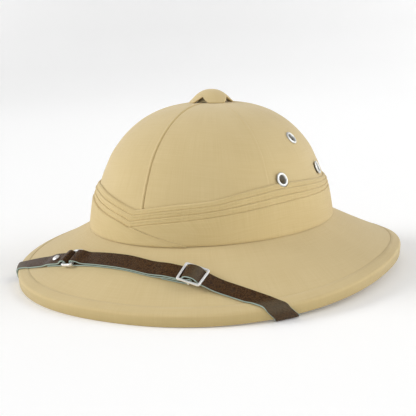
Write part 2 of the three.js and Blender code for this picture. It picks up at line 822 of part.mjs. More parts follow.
const buckle_middle = alongAtX(buckle_x);
const centre_bar_turn = buckle_thickness * Math.SQRT1_2 + piece_gap + strap_thickness / 2;
const frame_level = layer_three + (layer + buckle_thickness) / 2;
const centre_bar_level = layer_two + centre_bar_turn;
const hump_level = centre_bar_level + centre_bar_turn + layer;

// Half a turn round a bar, from below it to above it
function turnRound(middle, level, radius, direction) {
  return steps(-90, 90, 5).map((degrees) => [
    middle + direction * radius * Math.cos(radians(degrees)),
    level + radius * Math.sin(radians(degrees)),
  ]);
}

function makeLeftStrap() {
  const end = alongAtX(strap_end_x);
  const bar = ring_middle + ring_bar;
  const run = buckle_length / 2;
  const crossing = lane_stations.find((station) => station.past >= -1 && station.t > 0).along;
  const corner = lane_stations.find((station) => station.t > 0 && station.past >= cornerPast(station.t)).along;
  const route = [
    // Folded end under the buckle
    [end, layer_one],
    [end + 7, layer_one],
    [buckle_middle - 5, layer_one + 0.4],
    ...turnRound(buckle_middle, centre_bar_level, centre_bar_turn, 1),
    // Back over the centre bar and along the brim to the ring
    [buckle_middle - 3.5, centre_bar_level + 0.4],
    [buckle_middle - run + 1, layer_two + 0.2],
    [end + 2, layer_two],
    [end - 6, layer_one],
    ...steps(end - 14, bar + 8, 8).map((along) => [along, layer_one]),
    ...turnRound(bar, ring_level, ring_turn, -1),
    // Upper run from the ring to the buckle
    [bar + 4, ring_level + ring_turn - 0.3],
    [bar + 9, layer_two + 0.2],
    ...steps(bar + 15, end - 8, 8).map((along) => [along, layer_two]),
    [end + 1, layer_three],
    [end + 8, layer_three],
    [buckle_middle - run + 2.2, layer_three],
    [buckle_middle - 4, lerp(layer_three, hump_level, 0.5)],
    [buckle_middle - 2, hump_level - 0.25],
    [buckle_middle, hump_level],
    [buckle_middle + 2, hump_level - 0.25],
    [buckle_middle + 4, lerp(layer_three, hump_level, 0.5)],
    [buckle_middle + run - 2.2, layer_three],
    [buckle_middle + run, layer_three - 0.2],
    [buckle_middle + run + 7, layer_one + 0.8],
    [buckle_middle + run + 13, layer_one],
    // Over the rim and under the brim to the fixing
    ...steps(buckle_middle + run + 20, crossing - 3, 5).map((along) => [along, layer_one]),
    ...steps(crossing, crossing + rim_bend, 19).map((along) => [along, layer_rim]),
    ...steps(crossing + rim_bend + 7, corner - 8, 5).map((along) => [along, layer_one]),
    ...steps(corner - 5, corner + 9, 10).map((along) => [along, layer_rim]),
    ...steps(corner + 14, lane_end, 4).map((along) => [along, layer_rim]),
  ];
  const bore = toSolid(pinBore(rivet_spots[1], layer));
  return toGeometry(toSolid(strapBody(route)).subtract(bore));
}

function makeRightStrap() {
  const tail = alongAtX(strap_tail_x);
  const bar = ring_middle - ring_bar;
  const crossing = lane_stations.find((station) => station.past <= 1).along;
  const corner = lane_stations.find((station) => station.past <= cornerPast(station.t)).along;
  const route = [
    ...steps(0, corner - 14, 4).map((along) => [along, layer_rim]),
    ...steps(corner - 9, corner + 5, 10).map((along) => [along, layer_rim]),
    ...steps(corner + 8, crossing - rim_bend - 7, 5).map((along) => [along, layer_one]),
    ...steps(crossing - rim_bend, crossing, 19).map((along) => [along, layer_rim]),
    ...steps(crossing + 4, tail - 12, 3).map((along) => [along, layer_one]),
    [tail - 6, layer_one + 0.2],
    [tail + 1, layer_two],
    [bar - 10, layer_two],
    [bar - 6, layer_two + 0.3],
    [bar - 3, ring_level + ring_turn - 0.3],
    ...turnRound(bar, ring_level, ring_turn, 1).reverse(),
    [bar - 8, layer_one],
    [tail, layer_one],
  ];
  const body = toSolid(strapBody(route)).subtract(toSolid(pinBore(alongAtX(stud_x), layer)));
  return toGeometry(body.subtract(toSolid(pinBore(rivet_spots[0], layer))));
}

// A hole through the layers of strap at a pin, sunk by some depth into the skin under them
function pinBore(along, depth) {
  const { place, axis } = laneAxis(along);
  return rod(pin_radius + piece_gap, -depth, 3 * layer, pin_sides, place, axis);
}

function laneAxis(along) {
  const place = lanePoint(along, 0, 0);
  const axis = lanePoint(along, 0, 1).sub(place).normalize();
  return { place, axis };
}

// A rectangular frame lying along the lane, bent with it, made of square bars
function laneFrame(middle, length, width, bar, level, thick, turn = 0) {
  const shape = new THREE.Shape();
  const [a, b] = [length / 2, width / 2];
  shape.moveTo(-a, -b).lineTo(a, -b).lineTo(a, b).lineTo(-a, b).lineTo(-a, -b);
  const hole = new THREE.Path();
  const [c, d] = [a - bar, b - bar];
  hole.moveTo(-c, -d).lineTo(-c, d).lineTo(c, d).lineTo(c, -d).lineTo(-c, -d);
  shape.holes.push(hole);
  const geometry = new THREE.ExtrudeGeometry(shape, { depth: thick, bevelEnabled: false });
  geometry.rotateZ(radians(turn));
  geometry.translate(middle, 0, level - thick / 2);
  return geometry;
}

// Bends a geometry given in lane sizes onto the helmet
function ontoLane(geometry) {
  const position = geometry.getAttribute('position');
  for (let index = 0; index < position.count; index += 1) {
    const bent = lanePoint(position.getX(index), position.getY(index), position.getZ(index));
    position.setXYZ(index, bent.x, bent.y, bent.z);
  }
  return geometry;
}

function makeRing() {
  return ontoLane(laneFrame(ring_middle, ring_length, ring_width, ring_wire, ring_level, ring_wire));
}

function makeBuckle() {
  const sizes = [buckle_length, buckle_width, buckle_bar, frame_level, buckle_thickness, buckle_turn];
  const frame = laneFrame(buckle_middle, ...sizes);
  const post_height = frame_level + buckle_thickness / 2 - (centre_bar_level - buckle_thickness / 2);
  const posts = [-1, 1].map((side) => {
    const post = new THREE.BoxGeometry(buckle_bar, buckle_bar, post_height);
    const level = centre_bar_level - buckle_thickness / 2 + post_height / 2;
    post.translate(buckle_middle, side * (buckle_width - buckle_bar) / 2, level);
    return post;
  });
  const centre = new THREE.BoxGeometry(buckle_bar * 0.8, buckle_width - buckle_bar, buckle_thickness);
  centre.translate(buckle_middle, 0, centre_bar_level);
  const whole = [...posts, centre].reduce((body, piece) => body.add(toSolid(piece)), toSolid(frame));
  return ontoLane(toGeometry(whole));
}

// A domed head with a pin through the leather, seated on the strap's upper layer
function headAndPin(along, under, head_radius, head_height, pin_from) {
  const { place, axis } = laneAxis(along);
  const profile = [
    [0, pin_from],
    [pin_radius, pin_from],
    [pin_radius, under],
    [head_radius, under],
    [head_radius * 0.92, under + head_height * 0.55],
    [head_radius * 0.5, under + head_height * 0.93],
    [0, under + head_height],
  ];
  return turned(profile, pin_sides, place, axis);
}

function makeRivet(along) {
  return headAndPin(along, layer + strap_ease + piece_gap, rivet_radius, rivet_head, -rivet_depth);
}

// Scene graph

const group = new THREE.Group();

function addPiece(name, geometry, finish) {
  const mesh = new THREE.Mesh(geometry, new THREE.MeshStandardMaterial(finish));
  mesh.name = name;
  group.add(mesh);
}

addPiece('crown', makeCrown(), cloth);
addPiece('brim', loftLoops(angles_round.map(brimSection), true), cloth);
addPiece('brim_binding', loftLoops(angles_round.map(bindingSection), true), cloth);
addPiece('band_wrap_left', makeWrap(1), band_finish);
addPiece('band_wrap_right', makeWrap(-1), band_finish);
addPiece('vent_cap', makeVentCap(), cloth);
addPiece('vent_collar', makeVentCollar(), cloth);
for (const place of eyelet_places) addPiece(place.name, makeEyelet(place), metal);
addPiece('strap_left', makeLeftStrap(), leather);
addPiece('strap_right', makeRightStrap(), leather);
addPiece('strap_ring', makeRing(), metal);
addPiece('strap_buckle', makeBuckle(), metal);
const stud_seat = 2 * layer + piece_gap;
addPiece('strap_stud', headAndPin(alongAtX(stud_x), stud_seat, stud_radius, stud_height, piece_gap), metal);
addPiece('strap_rivet_left', makeRivet(rivet_spots[1]), metal);
addPiece('strap_rivet_right', makeRivet(rivet_spots[0]), metal);

// The helmet stands with its lowest edge on the ground
group.position.z = -new THREE.Box3().setFromObject(group).min.z;

export default group;
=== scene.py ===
# %% [markdown]
# # A pith helmet, from its cork to its chin strap
#
# A pith helmet is a stiff moulded hat: a high crown and a wide sloping brim, covered with cotton cloth.
# This lesson rebuilds its looks over the solids that were made in a CAD program.
# Each piece stands exactly where its solid stands, so the two models share one frame.
# The front of the helmet looks towards -Y, the wearer's left is +X, and the rim stands on the floor.

import math

import bpy
import numpy as np
from mathutils import Matrix, Vector


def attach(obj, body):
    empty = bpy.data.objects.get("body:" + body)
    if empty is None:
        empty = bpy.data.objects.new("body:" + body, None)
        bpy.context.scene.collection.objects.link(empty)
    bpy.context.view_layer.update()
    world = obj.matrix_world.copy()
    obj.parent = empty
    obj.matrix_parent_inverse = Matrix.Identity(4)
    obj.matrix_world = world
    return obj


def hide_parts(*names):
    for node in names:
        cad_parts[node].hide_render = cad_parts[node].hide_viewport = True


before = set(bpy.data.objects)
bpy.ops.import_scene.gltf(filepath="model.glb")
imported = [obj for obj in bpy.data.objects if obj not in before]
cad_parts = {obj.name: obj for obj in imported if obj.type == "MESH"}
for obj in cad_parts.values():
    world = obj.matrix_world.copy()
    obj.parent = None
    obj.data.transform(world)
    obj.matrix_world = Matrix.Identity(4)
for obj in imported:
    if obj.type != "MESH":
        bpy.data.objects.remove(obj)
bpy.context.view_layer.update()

# %% [markdown]
# ## Sizes
#
# A maker writes the sizes down first. They are in millimetres, as on a workshop drawing.
# Every later shape is worked out from these few numbers, so the pieces keep fitting each other.

# %% Sizes of the brim and the crown
MM = 0.001

BRIM_LENGTH, BRIM_WIDTH, BRIM_SQUARENESS = 340.0, 295.0, 2.19
BRIM_DROP, BRIM_DIP_ENDS, BRIM_DIP_FRONT = 37.9, 3.5, 1.28
BRIM_SAG, BRIM_THICKNESS = 0.6, 4.2

CREASE_INSET, CREASE_RISE = 7.8, 11.6
LIP_HEIGHT, LIP_OVERHANG, LIP_THICKNESS = 8.6, 0.6, 5.6
SHOULDER_ROUND, EDGE_ROUND = 2.6, 1.2
BINDING_CLOTH = 1.0

CROWN_LENGTH, CROWN_WIDTH, CROWN_HEIGHT = 228.8, 187.0, 93.5
CROWN_SQUARENESS, PLAN_FULLNESS, SIDE_FULLNESS = 1.95, 2.66, 1.78
CROWN_WALL, CROWN_FORWARD, CROWN_LEAN = 4.0, 0.6, 0.014
CORNER_ROUND, VENT_RADIUS = 6.0, 9.0

BAND_HEIGHT, BAND_SEAT, CLOTH_GAP = 38.0, 0.9, 0.4

print("brim", BRIM_LENGTH, "x", BRIM_WIDTH, "mm, crown", CROWN_HEIGHT, "mm high")

# %% [markdown]
# ## The shape as functions
#
# The real helmet is moulded over a block, and a block is a smooth shape without corners.
# Curves called superellipses suit it: a power a little over 2 makes an oval slightly squarer.
# Every function takes whole arrays of angles at once, because numpy is fast with arrays.

# %% Small helpers for curves
def signed_power(value, power):
    """A power that keeps the sign, which turns an oval into a superellipse."""
    return np.sign(value) * np.abs(value) ** power


def ease(low, high, value):
    """Rises smoothly from 0 at low to 1 at high."""
    share = np.clip((value - low) / (high - low), 0, 1)
    return share * share * (3 - 2 * share)


def unit(vectors):
    """The same directions with length 1."""
    return vectors / np.maximum(np.linalg.norm(vectors, axis=-1, keepdims=True), 1e-9)


def run_lengths(points):
    """Distances along a line of points, summed from its first point."""
    steps = np.linalg.norm(np.diff(points, axis=0), axis=1)
    return np.concatenate([[0], np.cumsum(steps)])


def corner_curve(k, start, corner, end):
    """Leaves start towards a corner and comes to end from it, as k goes from 0 to 1."""
    return (1 - k) ** 2 * start + 2 * k * (1 - k) * corner + k * k * end


def flowing_curve(k, start, leaving, end, arriving):
    """Joins two values with a given slope at each of them."""
    return (start * (2 * k ** 3 - 3 * k ** 2 + 1) + leaving * (k ** 3 - 2 * k ** 2 + k)
            + end * (3 * k ** 2 - 2 * k ** 3) + arriving * (k ** 3 - k ** 2))


print("a quarter of the way, ease gives", ease(0, 1, 0.25))

# %% [markdown]
# The rim isn't level: it dips at the front and the back and rises at the sides, so that it shades the face
# and the neck. A few cosine terms describe that. The solids have 46 stations round the rim, and the
# lowest of them stands on the floor, which gives the height of everything else.

# %% Plan of the rim
def rim_drop(t):
    """How far the rim's lower edge lies under the crown's root, at an angle from the front."""
    return BRIM_DROP + BRIM_DIP_ENDS * np.cos(2 * t) + BRIM_DIP_FRONT * (np.cos(t) - np.cos(3 * t))


STATIONS = 46
LIFT = float(rim_drop(math.pi / STATIONS))


def place(x, y, z):
    """Puts helmet coordinates into the shared frame, which starts at the floor."""
    return np.stack(np.broadcast_arrays(x, y, z + LIFT), axis=-1)


def rim_point(t, inset, up):
    """A point by its distance in from the rim's edge and its height over the rim's lower edge."""
    across, along = BRIM_LENGTH / 2 * np.sin(t), BRIM_WIDTH / 2 * np.cos(t)
    size = np.hypot(across, along)
    x = BRIM_WIDTH / 2 * signed_power(np.sin(t), 2 / BRIM_SQUARENESS) - inset * across / size
    y = -BRIM_LENGTH / 2 * signed_power(np.cos(t), 2 / BRIM_SQUARENESS) + inset * along / size
    return place(x, y, up - rim_drop(t))


print("the crown's root is", round(LIFT, 2), "mm over the floor")

# %% [markdown]
# The crown is an egg-shaped dome. It is an oval at every height, and one more power curve lets its side
# rise almost straight and then turn over to the top. A subdivided cage could give the same dome, but each
# change of size would move all its corners, and here it changes one number.

# %% Surface of the crown
def crown_point(t, climb):
    """A point of the crown: climb is 0 at its root and 1 at its top."""
    angle = climb * np.pi / 2
    spread = np.cos(angle) ** (2 / PLAN_FULLNESS)
    rise = CROWN_HEIGHT * np.sin(angle) ** (2 / SIDE_FULLNESS)
    x = CROWN_WIDTH / 2 * signed_power(np.sin(t), 2 / CROWN_SQUARENESS) * spread
    y = -CROWN_LENGTH / 2 * signed_power(np.cos(t), 2 / CROWN_SQUARENESS) * spread
    return place(x, y - CROWN_FORWARD - CROWN_LEAN * rise, rise)


def climb_at(height):
    """How far up the crown a height over its root is, from 0 to 1."""
    rise = np.maximum(height, 0) / CROWN_HEIGHT
    return np.arcsin(rise ** (SIDE_FULLNESS / 2)) * 2 / np.pi


def crown_normal(t, climb):
    """The direction straight out of the crown, from two short steps on its surface."""
    small = 0.01
    round_way = crown_point(t + small, climb) - crown_point(t - small, climb)
    up_way = crown_point(t, climb + small) - crown_point(t, np.maximum(climb - small, 0))
    return unit(np.cross(round_way, up_way))


def crown_skin(t, climb, offset):
    """A point at some distance outside the crown's surface, or inside it below zero."""
    return crown_point(t, climb) + crown_normal(t, climb) * np.asarray(offset)[..., None]


def crown_top(t, radius, lift):
    """A point near the crown's top, on a circle about its middle."""
    middle = -CROWN_FORWARD - CROWN_LEAN * CROWN_HEIGHT
    x, y = radius * np.sin(t), middle - radius * np.cos(t)
    spread = np.hypot(x / (CROWN_WIDTH / 2), (y - middle) / (CROWN_LENGTH / 2))
    angle = np.arccos(spread ** (PLAN_FULLNESS / 2))
    return place(x, y, CROWN_HEIGHT * np.sin(angle) ** (2 / SIDE_FULLNESS) + lift)


print("crown's top", crown_top(0.0, 0.01, 0.0).round(1), "mm")

# %% [markdown]
# A section is the cut face that shows when the helmet is sawn through. The brim's section is nearly
# straight, and the lip's outline is drawn once as five corners. Moved inwards, the same outline also
# gives the layers under the cloth, which keeps them parallel.

# %% Section curves of the brim
SECTION_AT = 0.8
SHARPEST_CORNER, SMALLEST_ROUND = 0.3, 0.3


def brim_top(t, share):
    """The brim's upper face, from the crown's root (0) to the crease at the rim (1)."""
    root, crease = crown_point(t, 0 * t), rim_point(t, CREASE_INSET, CREASE_RISE)
    share = np.asarray(share)[..., None]
    point = root * (1 - share) + crease * share
    point[..., 2] -= 4 * BRIM_SAG * (share * (1 - share))[..., 0]
    return point


def brim_slope(t):
    """The brim's slope at an angle, and its thickness measured upright."""
    root, crease = crown_point(t, 0 * t), rim_point(t, CREASE_INSET, CREASE_RISE)
    run = np.hypot(crease[..., 0] - root[..., 0], crease[..., 1] - root[..., 1])
    slope = (root[..., 2] - crease[..., 2]) / run
    return slope, BRIM_THICKNESS * np.hypot(1, slope)


def lip_under(t):
    """Height of the brim's underside where it meets the inside of the lip."""
    slope, upright = brim_slope(t)
    return CREASE_RISE - upright - slope * (CREASE_INSET - LIP_THICKNESS)


def lip_outline(depth, arc_steps):
    """The lip in section: crease, rounded shoulder, face, bottom and the inside of the lip."""
    corners = np.array([
        [CREASE_INSET, CREASE_RISE], [-LIP_OVERHANG, LIP_HEIGHT], [0, 0],
        [LIP_THICKNESS, 0], [LIP_THICKNESS, float(lip_under(SECTION_AT))],
    ])
    rounds = [0, SHOULDER_ROUND, EDGE_ROUND, EDGE_ROUND, 0]
    last = len(corners) - 1
    moved = []
    for i, corner in enumerate(corners):
        into = unit(corner - corners[i - 1]) if i else unit(corners[1] - corners[0])
        out = unit(corners[i + 1] - corner) if i < last else into
        inward = unit(np.array([-into[1] - out[1], into[0] + out[0]]))
        moved.append(corner + inward * depth / max(inward @ [-into[1], into[0]], SHARPEST_CORNER))
    points = []
    for i, (at, radius) in enumerate(zip(moved, rounds)):
        if not radius:
            points.append(at)
            continue
        back, on = unit(at - moved[i - 1]), unit(moved[i + 1] - at)
        radius = max(radius - depth, SMALLEST_ROUND)
        reach = radius * math.tan(math.acos(np.clip(back @ on, -1, 1)) / 2)
        for k in np.linspace(0, 1, arc_steps + 1):
            points.append(corner_curve(k, at - back * reach, at, at + on * reach))
    return np.array(points)


print("lip outline has", len(lip_outline(0, 6)), "points")

# %% [markdown]
# The underside runs parallel to the upper face and turns up into the crown in a rounded corner, as moulded
# cork does: a sharp one would crack.

# %% Underside of the brim
def inside_corner(t):
    """The corner between the brim's underside and the crown's inner wall."""
    slope, upright = brim_slope(t)
    corner = crown_skin(t, 0 * t, 0 * t - CROWN_WALL)
    corner[..., 2] = slope * CROWN_WALL - upright + LIFT
    return corner


def brim_under(t, share):
    """The brim's underside, from the corner inside the crown (0) to the lip (1)."""
    slope, upright = brim_slope(t)
    inset = LIP_THICKNESS - BINDING_CLOTH - CLOTH_GAP
    outer = rim_point(t, inset, CREASE_RISE - upright - slope * (CREASE_INSET - inset))
    share = np.asarray(share)[..., None]
    return inside_corner(t) * (1 - share) + outer * share


def inside_turn(t, k):
    """The rounded corner where the underside turns up into the crown."""
    corner = inside_corner(t)
    outward = corner + unit(brim_under(t, 0 * t + 1) - corner) * CORNER_ROUND
    above = crown_skin(t, climb_at(corner[..., 2] - LIFT + CORNER_ROUND), 0 * t - CROWN_WALL)
    return corner_curve(k, outward, corner, above)


print("inside corner at the front is", inside_corner(np.array([0.0])).round(1)[0], "mm")

# %% [markdown]
# ## Meshes from rows of points
#
# Nearly everything on a hat is a section carried round an oval, so one helper does most of the work.
# It takes a grid of points and joins neighbours with quads. A second grid says where each point lies on
# the cloth, in millimetres along and across the threads, so that a weave can follow the cloth.
# Blender's own curve with a bevel would be shorter to write, but it can't change its section on the way.

# %% Grid mesh helper
UV_MM = 100.0


def cloth_lengths(points):
    """Distances along each row and each column of a grid, summed from its first point."""
    across = np.linalg.norm(np.diff(points, axis=1), axis=-1)
    v = np.concatenate([np.zeros((len(points), 1)), np.cumsum(across, axis=1)], axis=1)
    u = run_lengths(points[:, points.shape[1] // 2])
    return np.stack([np.repeat(u[:, None], points.shape[1], axis=1), v], axis=-1)


def new_object(name, points, faces):
    """A smoothly shaded mesh in the scene."""
    mesh = bpy.data.meshes.new(name)
    mesh.from_pydata(points, [], faces)
    mesh.polygons.foreach_set("use_smooth", [True] * len(mesh.polygons))
    made = bpy.data.objects.new(name, mesh)
    bpy.context.scene.collection.objects.link(made)
    return made


def grid_mesh(name, points, around=True, section=True, cloth=None, caps=False):
    """A mesh of quads over a grid: around joins the last row to the first, section the columns."""
    rows, columns = points.shape[:2]
    if cloth is None:
        cloth = cloth_lengths(points)
    i, j = np.meshgrid(np.arange(rows if around else rows - 1),
                       np.arange(columns if section else columns - 1), indexing="ij")
    i, j = i.ravel(), j.ravel()
    i2, j2 = i + 1, j + 1
    corners = [(i, j), (i2, j), (i2, j2), (i, j2)]
    faces = np.stack([(a % rows) * columns + b % columns for a, b in corners], axis=1)
    step_u = np.abs(cloth[1, 0, 0] - cloth[0, 0, 0])
    step_v = np.abs(cloth[0, 1, 1] - cloth[0, 0, 1])
    where = []
    for a, b in corners:
        at = cloth[a % rows, b % columns].copy()
        at[a >= rows, 0] = cloth[-1, 0, 0] + step_u
        at[b >= columns, 1] = cloth[a[b >= columns] % rows, -1, 1] + step_v
        where.append(at)
    faces = [list(map(int, face)) for face in faces]
    if caps:
        faces.append(list(range(columns))[::-1])
        faces.append([(rows - 1) * columns + c for c in range(columns)])
    made = new_object(name, (points.reshape(-1, 3) * MM).tolist(), faces)
    layer = made.data.uv_layers.new(name="cloth")
    uv = np.zeros((len(made.data.loops), 2))
    flat = np.stack(where, axis=1).reshape(-1, 2)
    uv[: len(flat)] = flat / UV_MM
    layer.data.foreach_set("uv", uv.ravel())
    made.data.update()
    turn_outwards(made)
    return made


print("a sheet of cloth is drawn", UV_MM, "mm to the unit")

# %% [markdown]
# Each finished mesh also gets its numbers for the finish and faces that look outwards, and it is hung on
# the body's root. The solids that it stands for are hidden, so nothing is shown twice.

# %% Marks, outward faces and hidden solids
def mark_points(made, title, values):
    """Writes one number for each point of a mesh, which its finish can read."""
    layer = made.data.attributes.new(title, "FLOAT", "POINT")
    layer.data.foreach_set("value", values.ravel())


def turn_outwards(made):
    """Flips the faces if the mesh is inside out, by the sign of the volume that it holds."""
    mesh = made.data
    mesh.calc_loop_triangles()
    tris = np.zeros(len(mesh.loop_triangles) * 3, dtype=int)
    mesh.loop_triangles.foreach_get("vertices", tris)
    co = np.zeros(len(mesh.vertices) * 3)
    mesh.vertices.foreach_get("co", co)
    a, b, c = co.reshape(-1, 3)[tris.reshape(-1, 3)].transpose(1, 0, 2)
    if np.einsum("ij,ij->i", a, np.cross(b, c)).sum() < 0:
        mesh.flip_normals()


def finish_piece(made, material, slot, *nodes):
    """Gives a piece its finish, hangs it on the body's root and hides the solids that it stands for."""
    made.data.materials.clear()
    made.data.materials.append(material)
    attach(made, "root")
    if nodes:
        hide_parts(*nodes)
    print(made.name, "has", len(made.data.polygons), "faces")
    return made


print("all pieces ride on the body root")

# %% [markdown]
# ## Writing shader maths as sums
#
# A material in Blender is a graph of nodes. Sums are easier to read than graphs, so a small class wraps
# a node's output and overloads the operators: `1 - mask` then adds its own Math node.

# %% Value class
class Value:
    """A number that changes over a surface."""

    def __init__(self, tree, socket):
        self.tree, self.socket = tree, socket

    def math(self, operation, *others, clamp=False):
        node = self.tree.nodes.new("ShaderNodeMath")
        node.operation, node.use_clamp = operation, clamp
        for slot, item in zip(node.inputs, others):
            if isinstance(item, Value):
                self.tree.links.new(item.socket, slot)
            else:
                slot.default_value = item
        return Value(self.tree, node.outputs[0])

    def __add__(self, other):
        return self.math("ADD", self, other)

    def __radd__(self, other):
        return self.math("ADD", other, self)

    def __sub__(self, other):
        return self.math("SUBTRACT", self, other)

    def __rsub__(self, other):
        return self.math("SUBTRACT", other, self)

    def __mul__(self, other):
        return self.math("MULTIPLY", self, other)

    def __rmul__(self, other):
        return self.math("MULTIPLY", other, self)

    def sine(self):
        return self.math("SINE", self)

    def size(self):
        return self.math("ABSOLUTE", self)

    def limit(self):
        """Cut off below 0 and above 1."""
        return self.math("ADD", self, 0.0, clamp=True)


print("sums can now use + - * and .sine(), .size() and .limit()")

# %% [markdown]
# The second helper stands for a whole material. One method makes any node from its type, its settings and
# what goes into its sockets, so that each finish below reads like a recipe.

# %% Finish maker
class Finish:
    """A material under construction."""

    def __init__(self, name):
        self.material = bpy.data.materials.new(name)
        self.material.use_nodes = True
        self.tree = self.material.node_tree
        self.shader = self.tree.nodes["Principled BSDF"]

    def node(self, kind, settings=None, inputs=None, output=0):
        """Any node: its settings are set first, then its sockets get values or links."""
        node = self.tree.nodes.new(kind)
        for key, value in (settings or {}).items():
            setattr(node, key, value)
        for key, value in (inputs or {}).items():
            self.join(value, node.inputs[key])
        return Value(self.tree, node.outputs[output])

    def join(self, value, socket):
        """A link where the value changes over the surface, or else a plain number."""
        if isinstance(value, Value):
            self.tree.links.new(value.socket, socket)
        else:
            socket.default_value = value

    def mix(self, factor, first, second):
        """A blend of two colours."""
        node = self.tree.nodes.new("ShaderNodeMix")
        node.data_type = "RGBA"
        for value, index in ((factor, 0), (first, 6), (second, 7)):
            if isinstance(value, tuple):
                value = (*value, 1.0)
            self.join(value, node.inputs[index])
        return Value(self.tree, node.outputs[2])

    def noise(self, where, scale, detail=3.0, roughness=0.5):
        """Soft random cloudiness between 0 and 1."""
        return self.node("ShaderNodeTexNoise", inputs={
            "Vector": where, "Scale": scale, "Detail": detail, "Roughness": roughness})

    def spots_in_mm(self):
        """Where a point lies on the cloth or the leather, in millimetres."""
        spot = self.node("ShaderNodeUVMap", {"uv_map": "cloth"})
        return self.node("ShaderNodeVectorMath", {"operation": "SCALE"}, {"Vector": spot, "Scale": UV_MM})

    def mark(self, title):
        """A number that was written on the points of a mesh."""
        return self.node("ShaderNodeAttribute", {"attribute_name": title}, output=2)

    def set(self, **values):
        """Puts values and links into the shader's own sockets and gives the material back."""
        for key, value in values.items():
            if isinstance(value, tuple) and len(value) == 3:
                value = (*value, 1.0)
            self.join(value, self.shader.inputs[key.replace("_", " ")])
        return self.material


print("a finish starts from", Finish.__name__, "and the Principled shader")

# %% [markdown]
# ## Cotton cloth
#
# The cover is a closely woven khaki cotton. Threads run up each panel and round it, and no two threads
# are quite alike, so thin streaks follow both ways. The threads are made as bump waves on the cloth's own
# coordinates, and the streaks as noise that is stretched along each thread direction. Modelled threads
# would take millions of faces and wouldn't show at this distance. Where a number on the mesh says so, the
# cloth is painted browner as a painted shade.

# %% Cotton cloth finish
THREAD_MM = 0.55
STREAK_FINE, STREAK_LONG = 1.4, 0.03


def cotton(name, light, dark, streak=0.5, painted_shade=None):
    """Woven cotton between a light and a darker thread colour, painted browner as shade where a mark on the
    mesh says so.
    """
    cloth = Finish(name)
    where = cloth.spots_in_mm()
    u = cloth.node("ShaderNodeSeparateXYZ", inputs={"Vector": where})
    v = Value(cloth.tree, u.socket.node.outputs[1])
    warp = (u * (math.pi / THREAD_MM)).sine()
    weft = (v * (math.pi / THREAD_MM)).sine()
    over = warp * weft
    threads = over.size() * 0.6 + warp.size() * 0.2 + weft.size() * 0.2
    along = cloth.node("ShaderNodeMapping", inputs={
        "Vector": where, "Scale": (STREAK_FINE, STREAK_LONG, 1.0)})
    across = cloth.node("ShaderNodeMapping", inputs={
        "Vector": where, "Scale": (STREAK_LONG, STREAK_FINE, 1.0)})
    streaks = cloth.noise(along, 1.0, 2.0) * 0.5 + cloth.noise(across, 1.0, 2.0) * 0.5
    patches = cloth.noise(where, 0.03, 2.0)
    tone = ((streaks - 0.5) * (2.2 * streak) + (patches - 0.5) * 0.5 + threads * 0.12 + 0.44).limit()
    height = threads + streaks * 0.8
    relief = cloth.node("ShaderNodeBump", inputs={"Height": height, "Strength": 0.35, "Distance": 0.00012})
    colour = cloth.mix(tone, dark, light)
    # Painted shade: a browner colour where the mesh's mark says so.
    if painted_shade:
        colour = cloth.mix(cloth.mark("painted_shade") * (patches * 0.3 + 0.35), colour, painted_shade)
    return cloth.set(Base_Color=colour, Roughness=0.88, Normal=relief,
                     Sheen_Weight=0.25, Sheen_Roughness=0.5, Specular_IOR_Level=0.25)


cover_cloth = cotton("khaki cover cloth", (0.700, 0.560, 0.300), (0.600, 0.455, 0.215))
# The binding's third colour is a painted shade for the lip's turned-down face.
binding_cloth = cotton("khaki binding cloth", (0.690, 0.550, 0.290), (0.590, 0.445, 0.205),
                       painted_shade=(0.390, 0.290, 0.105))
band_cloth = cotton("khaki band cloth", (0.700, 0.555, 0.285), (0.590, 0.440, 0.195), streak=0.7)
print("cloth threads", THREAD_MM, "mm apart")

# %% [markdown]
# ## Crown cover
#
# The crown is covered by six panels of cloth, called gores, sewn edge to edge from the root to the top.
# Each seam shows as a narrow groove with a soft welt beside it, where the seam allowance lies under the
# cloth. The front and back seams are pulled deeper than the four at the sides. The seams could be bump
# alone, but then they would vanish at the outline, so they are part of the mesh. The angles are taken
# more closely where a seam runs, which costs fewer faces than a fine mesh everywhere.

# %% Angles with more of them near the seams
GORES = 6
SEAM_REACH, SEAM_CROWDING = math.radians(5), 1.7


def angles_with_seams(plain_steps, seam_steps):
    """Angles round the helmet, close together at each seam."""
    found = []
    for gore in range(GORES):
        seam = 2 * np.pi * gore / GORES
        following = 2 * np.pi * (gore + 1) / GORES
        near = np.linspace(-1, 1, seam_steps)
        found.extend(seam + SEAM_REACH * np.sign(near) * np.abs(near) ** SEAM_CROWDING)
        found.extend(np.linspace(seam + SEAM_REACH, following - SEAM_REACH, plain_steps + 2)[1:-1])
    return np.array(found)


SEAM_GROOVE, GROOVE_WIDE = 0.8, 0.5
SEAM_WELT, WELT_AT, WELT_WIDE = 0.6, 1.5, 1.0
SEAM_FADE = 16
SEAM_DEPTHS = np.array([1.0, 0.16, 0.16, 1.0, 0.16, 0.16])


def seam_relief(t, climb):
    """Height of the cloth beside the seams, in millimetres, fading out towards the top."""
    apart = (t + np.pi / GORES) % (2 * np.pi / GORES) - np.pi / GORES
    girth = np.linalg.norm(crown_point(t, climb)[..., :2], axis=-1)
    along = apart * girth
    depth = SEAM_DEPTHS[np.round(t * GORES / (2 * np.pi)).astype(int) % GORES]
    groove = -SEAM_GROOVE * depth * np.exp(-((along / GROOVE_WIDE) ** 2))
    welt = SEAM_WELT * np.exp(-(((along + WELT_AT) / WELT_WIDE) ** 2)) * np.sqrt(depth)
    return (groove + welt) * np.minimum(1, girth / SEAM_FADE)


angles = angles_with_seams(46, 31)
print(len(angles), "angles round the crown")

# %% [markdown]
# The crown is one closed shell: down the outside from the hole at its top, and up the inside again.
# Under the band its surface steps back a little, so that the band has room.

# %% Crown mesh
CROWN_FOOT, NECK_TOP = 5.15, 4.85
TOP_CLIMB, MIDDLE_CLIMB, INNER_CLIMB = 0.955, 0.6, 0.93
SEAT_ENDS = 1.15 * BAND_HEIGHT, 1.5 * BAND_HEIGHT


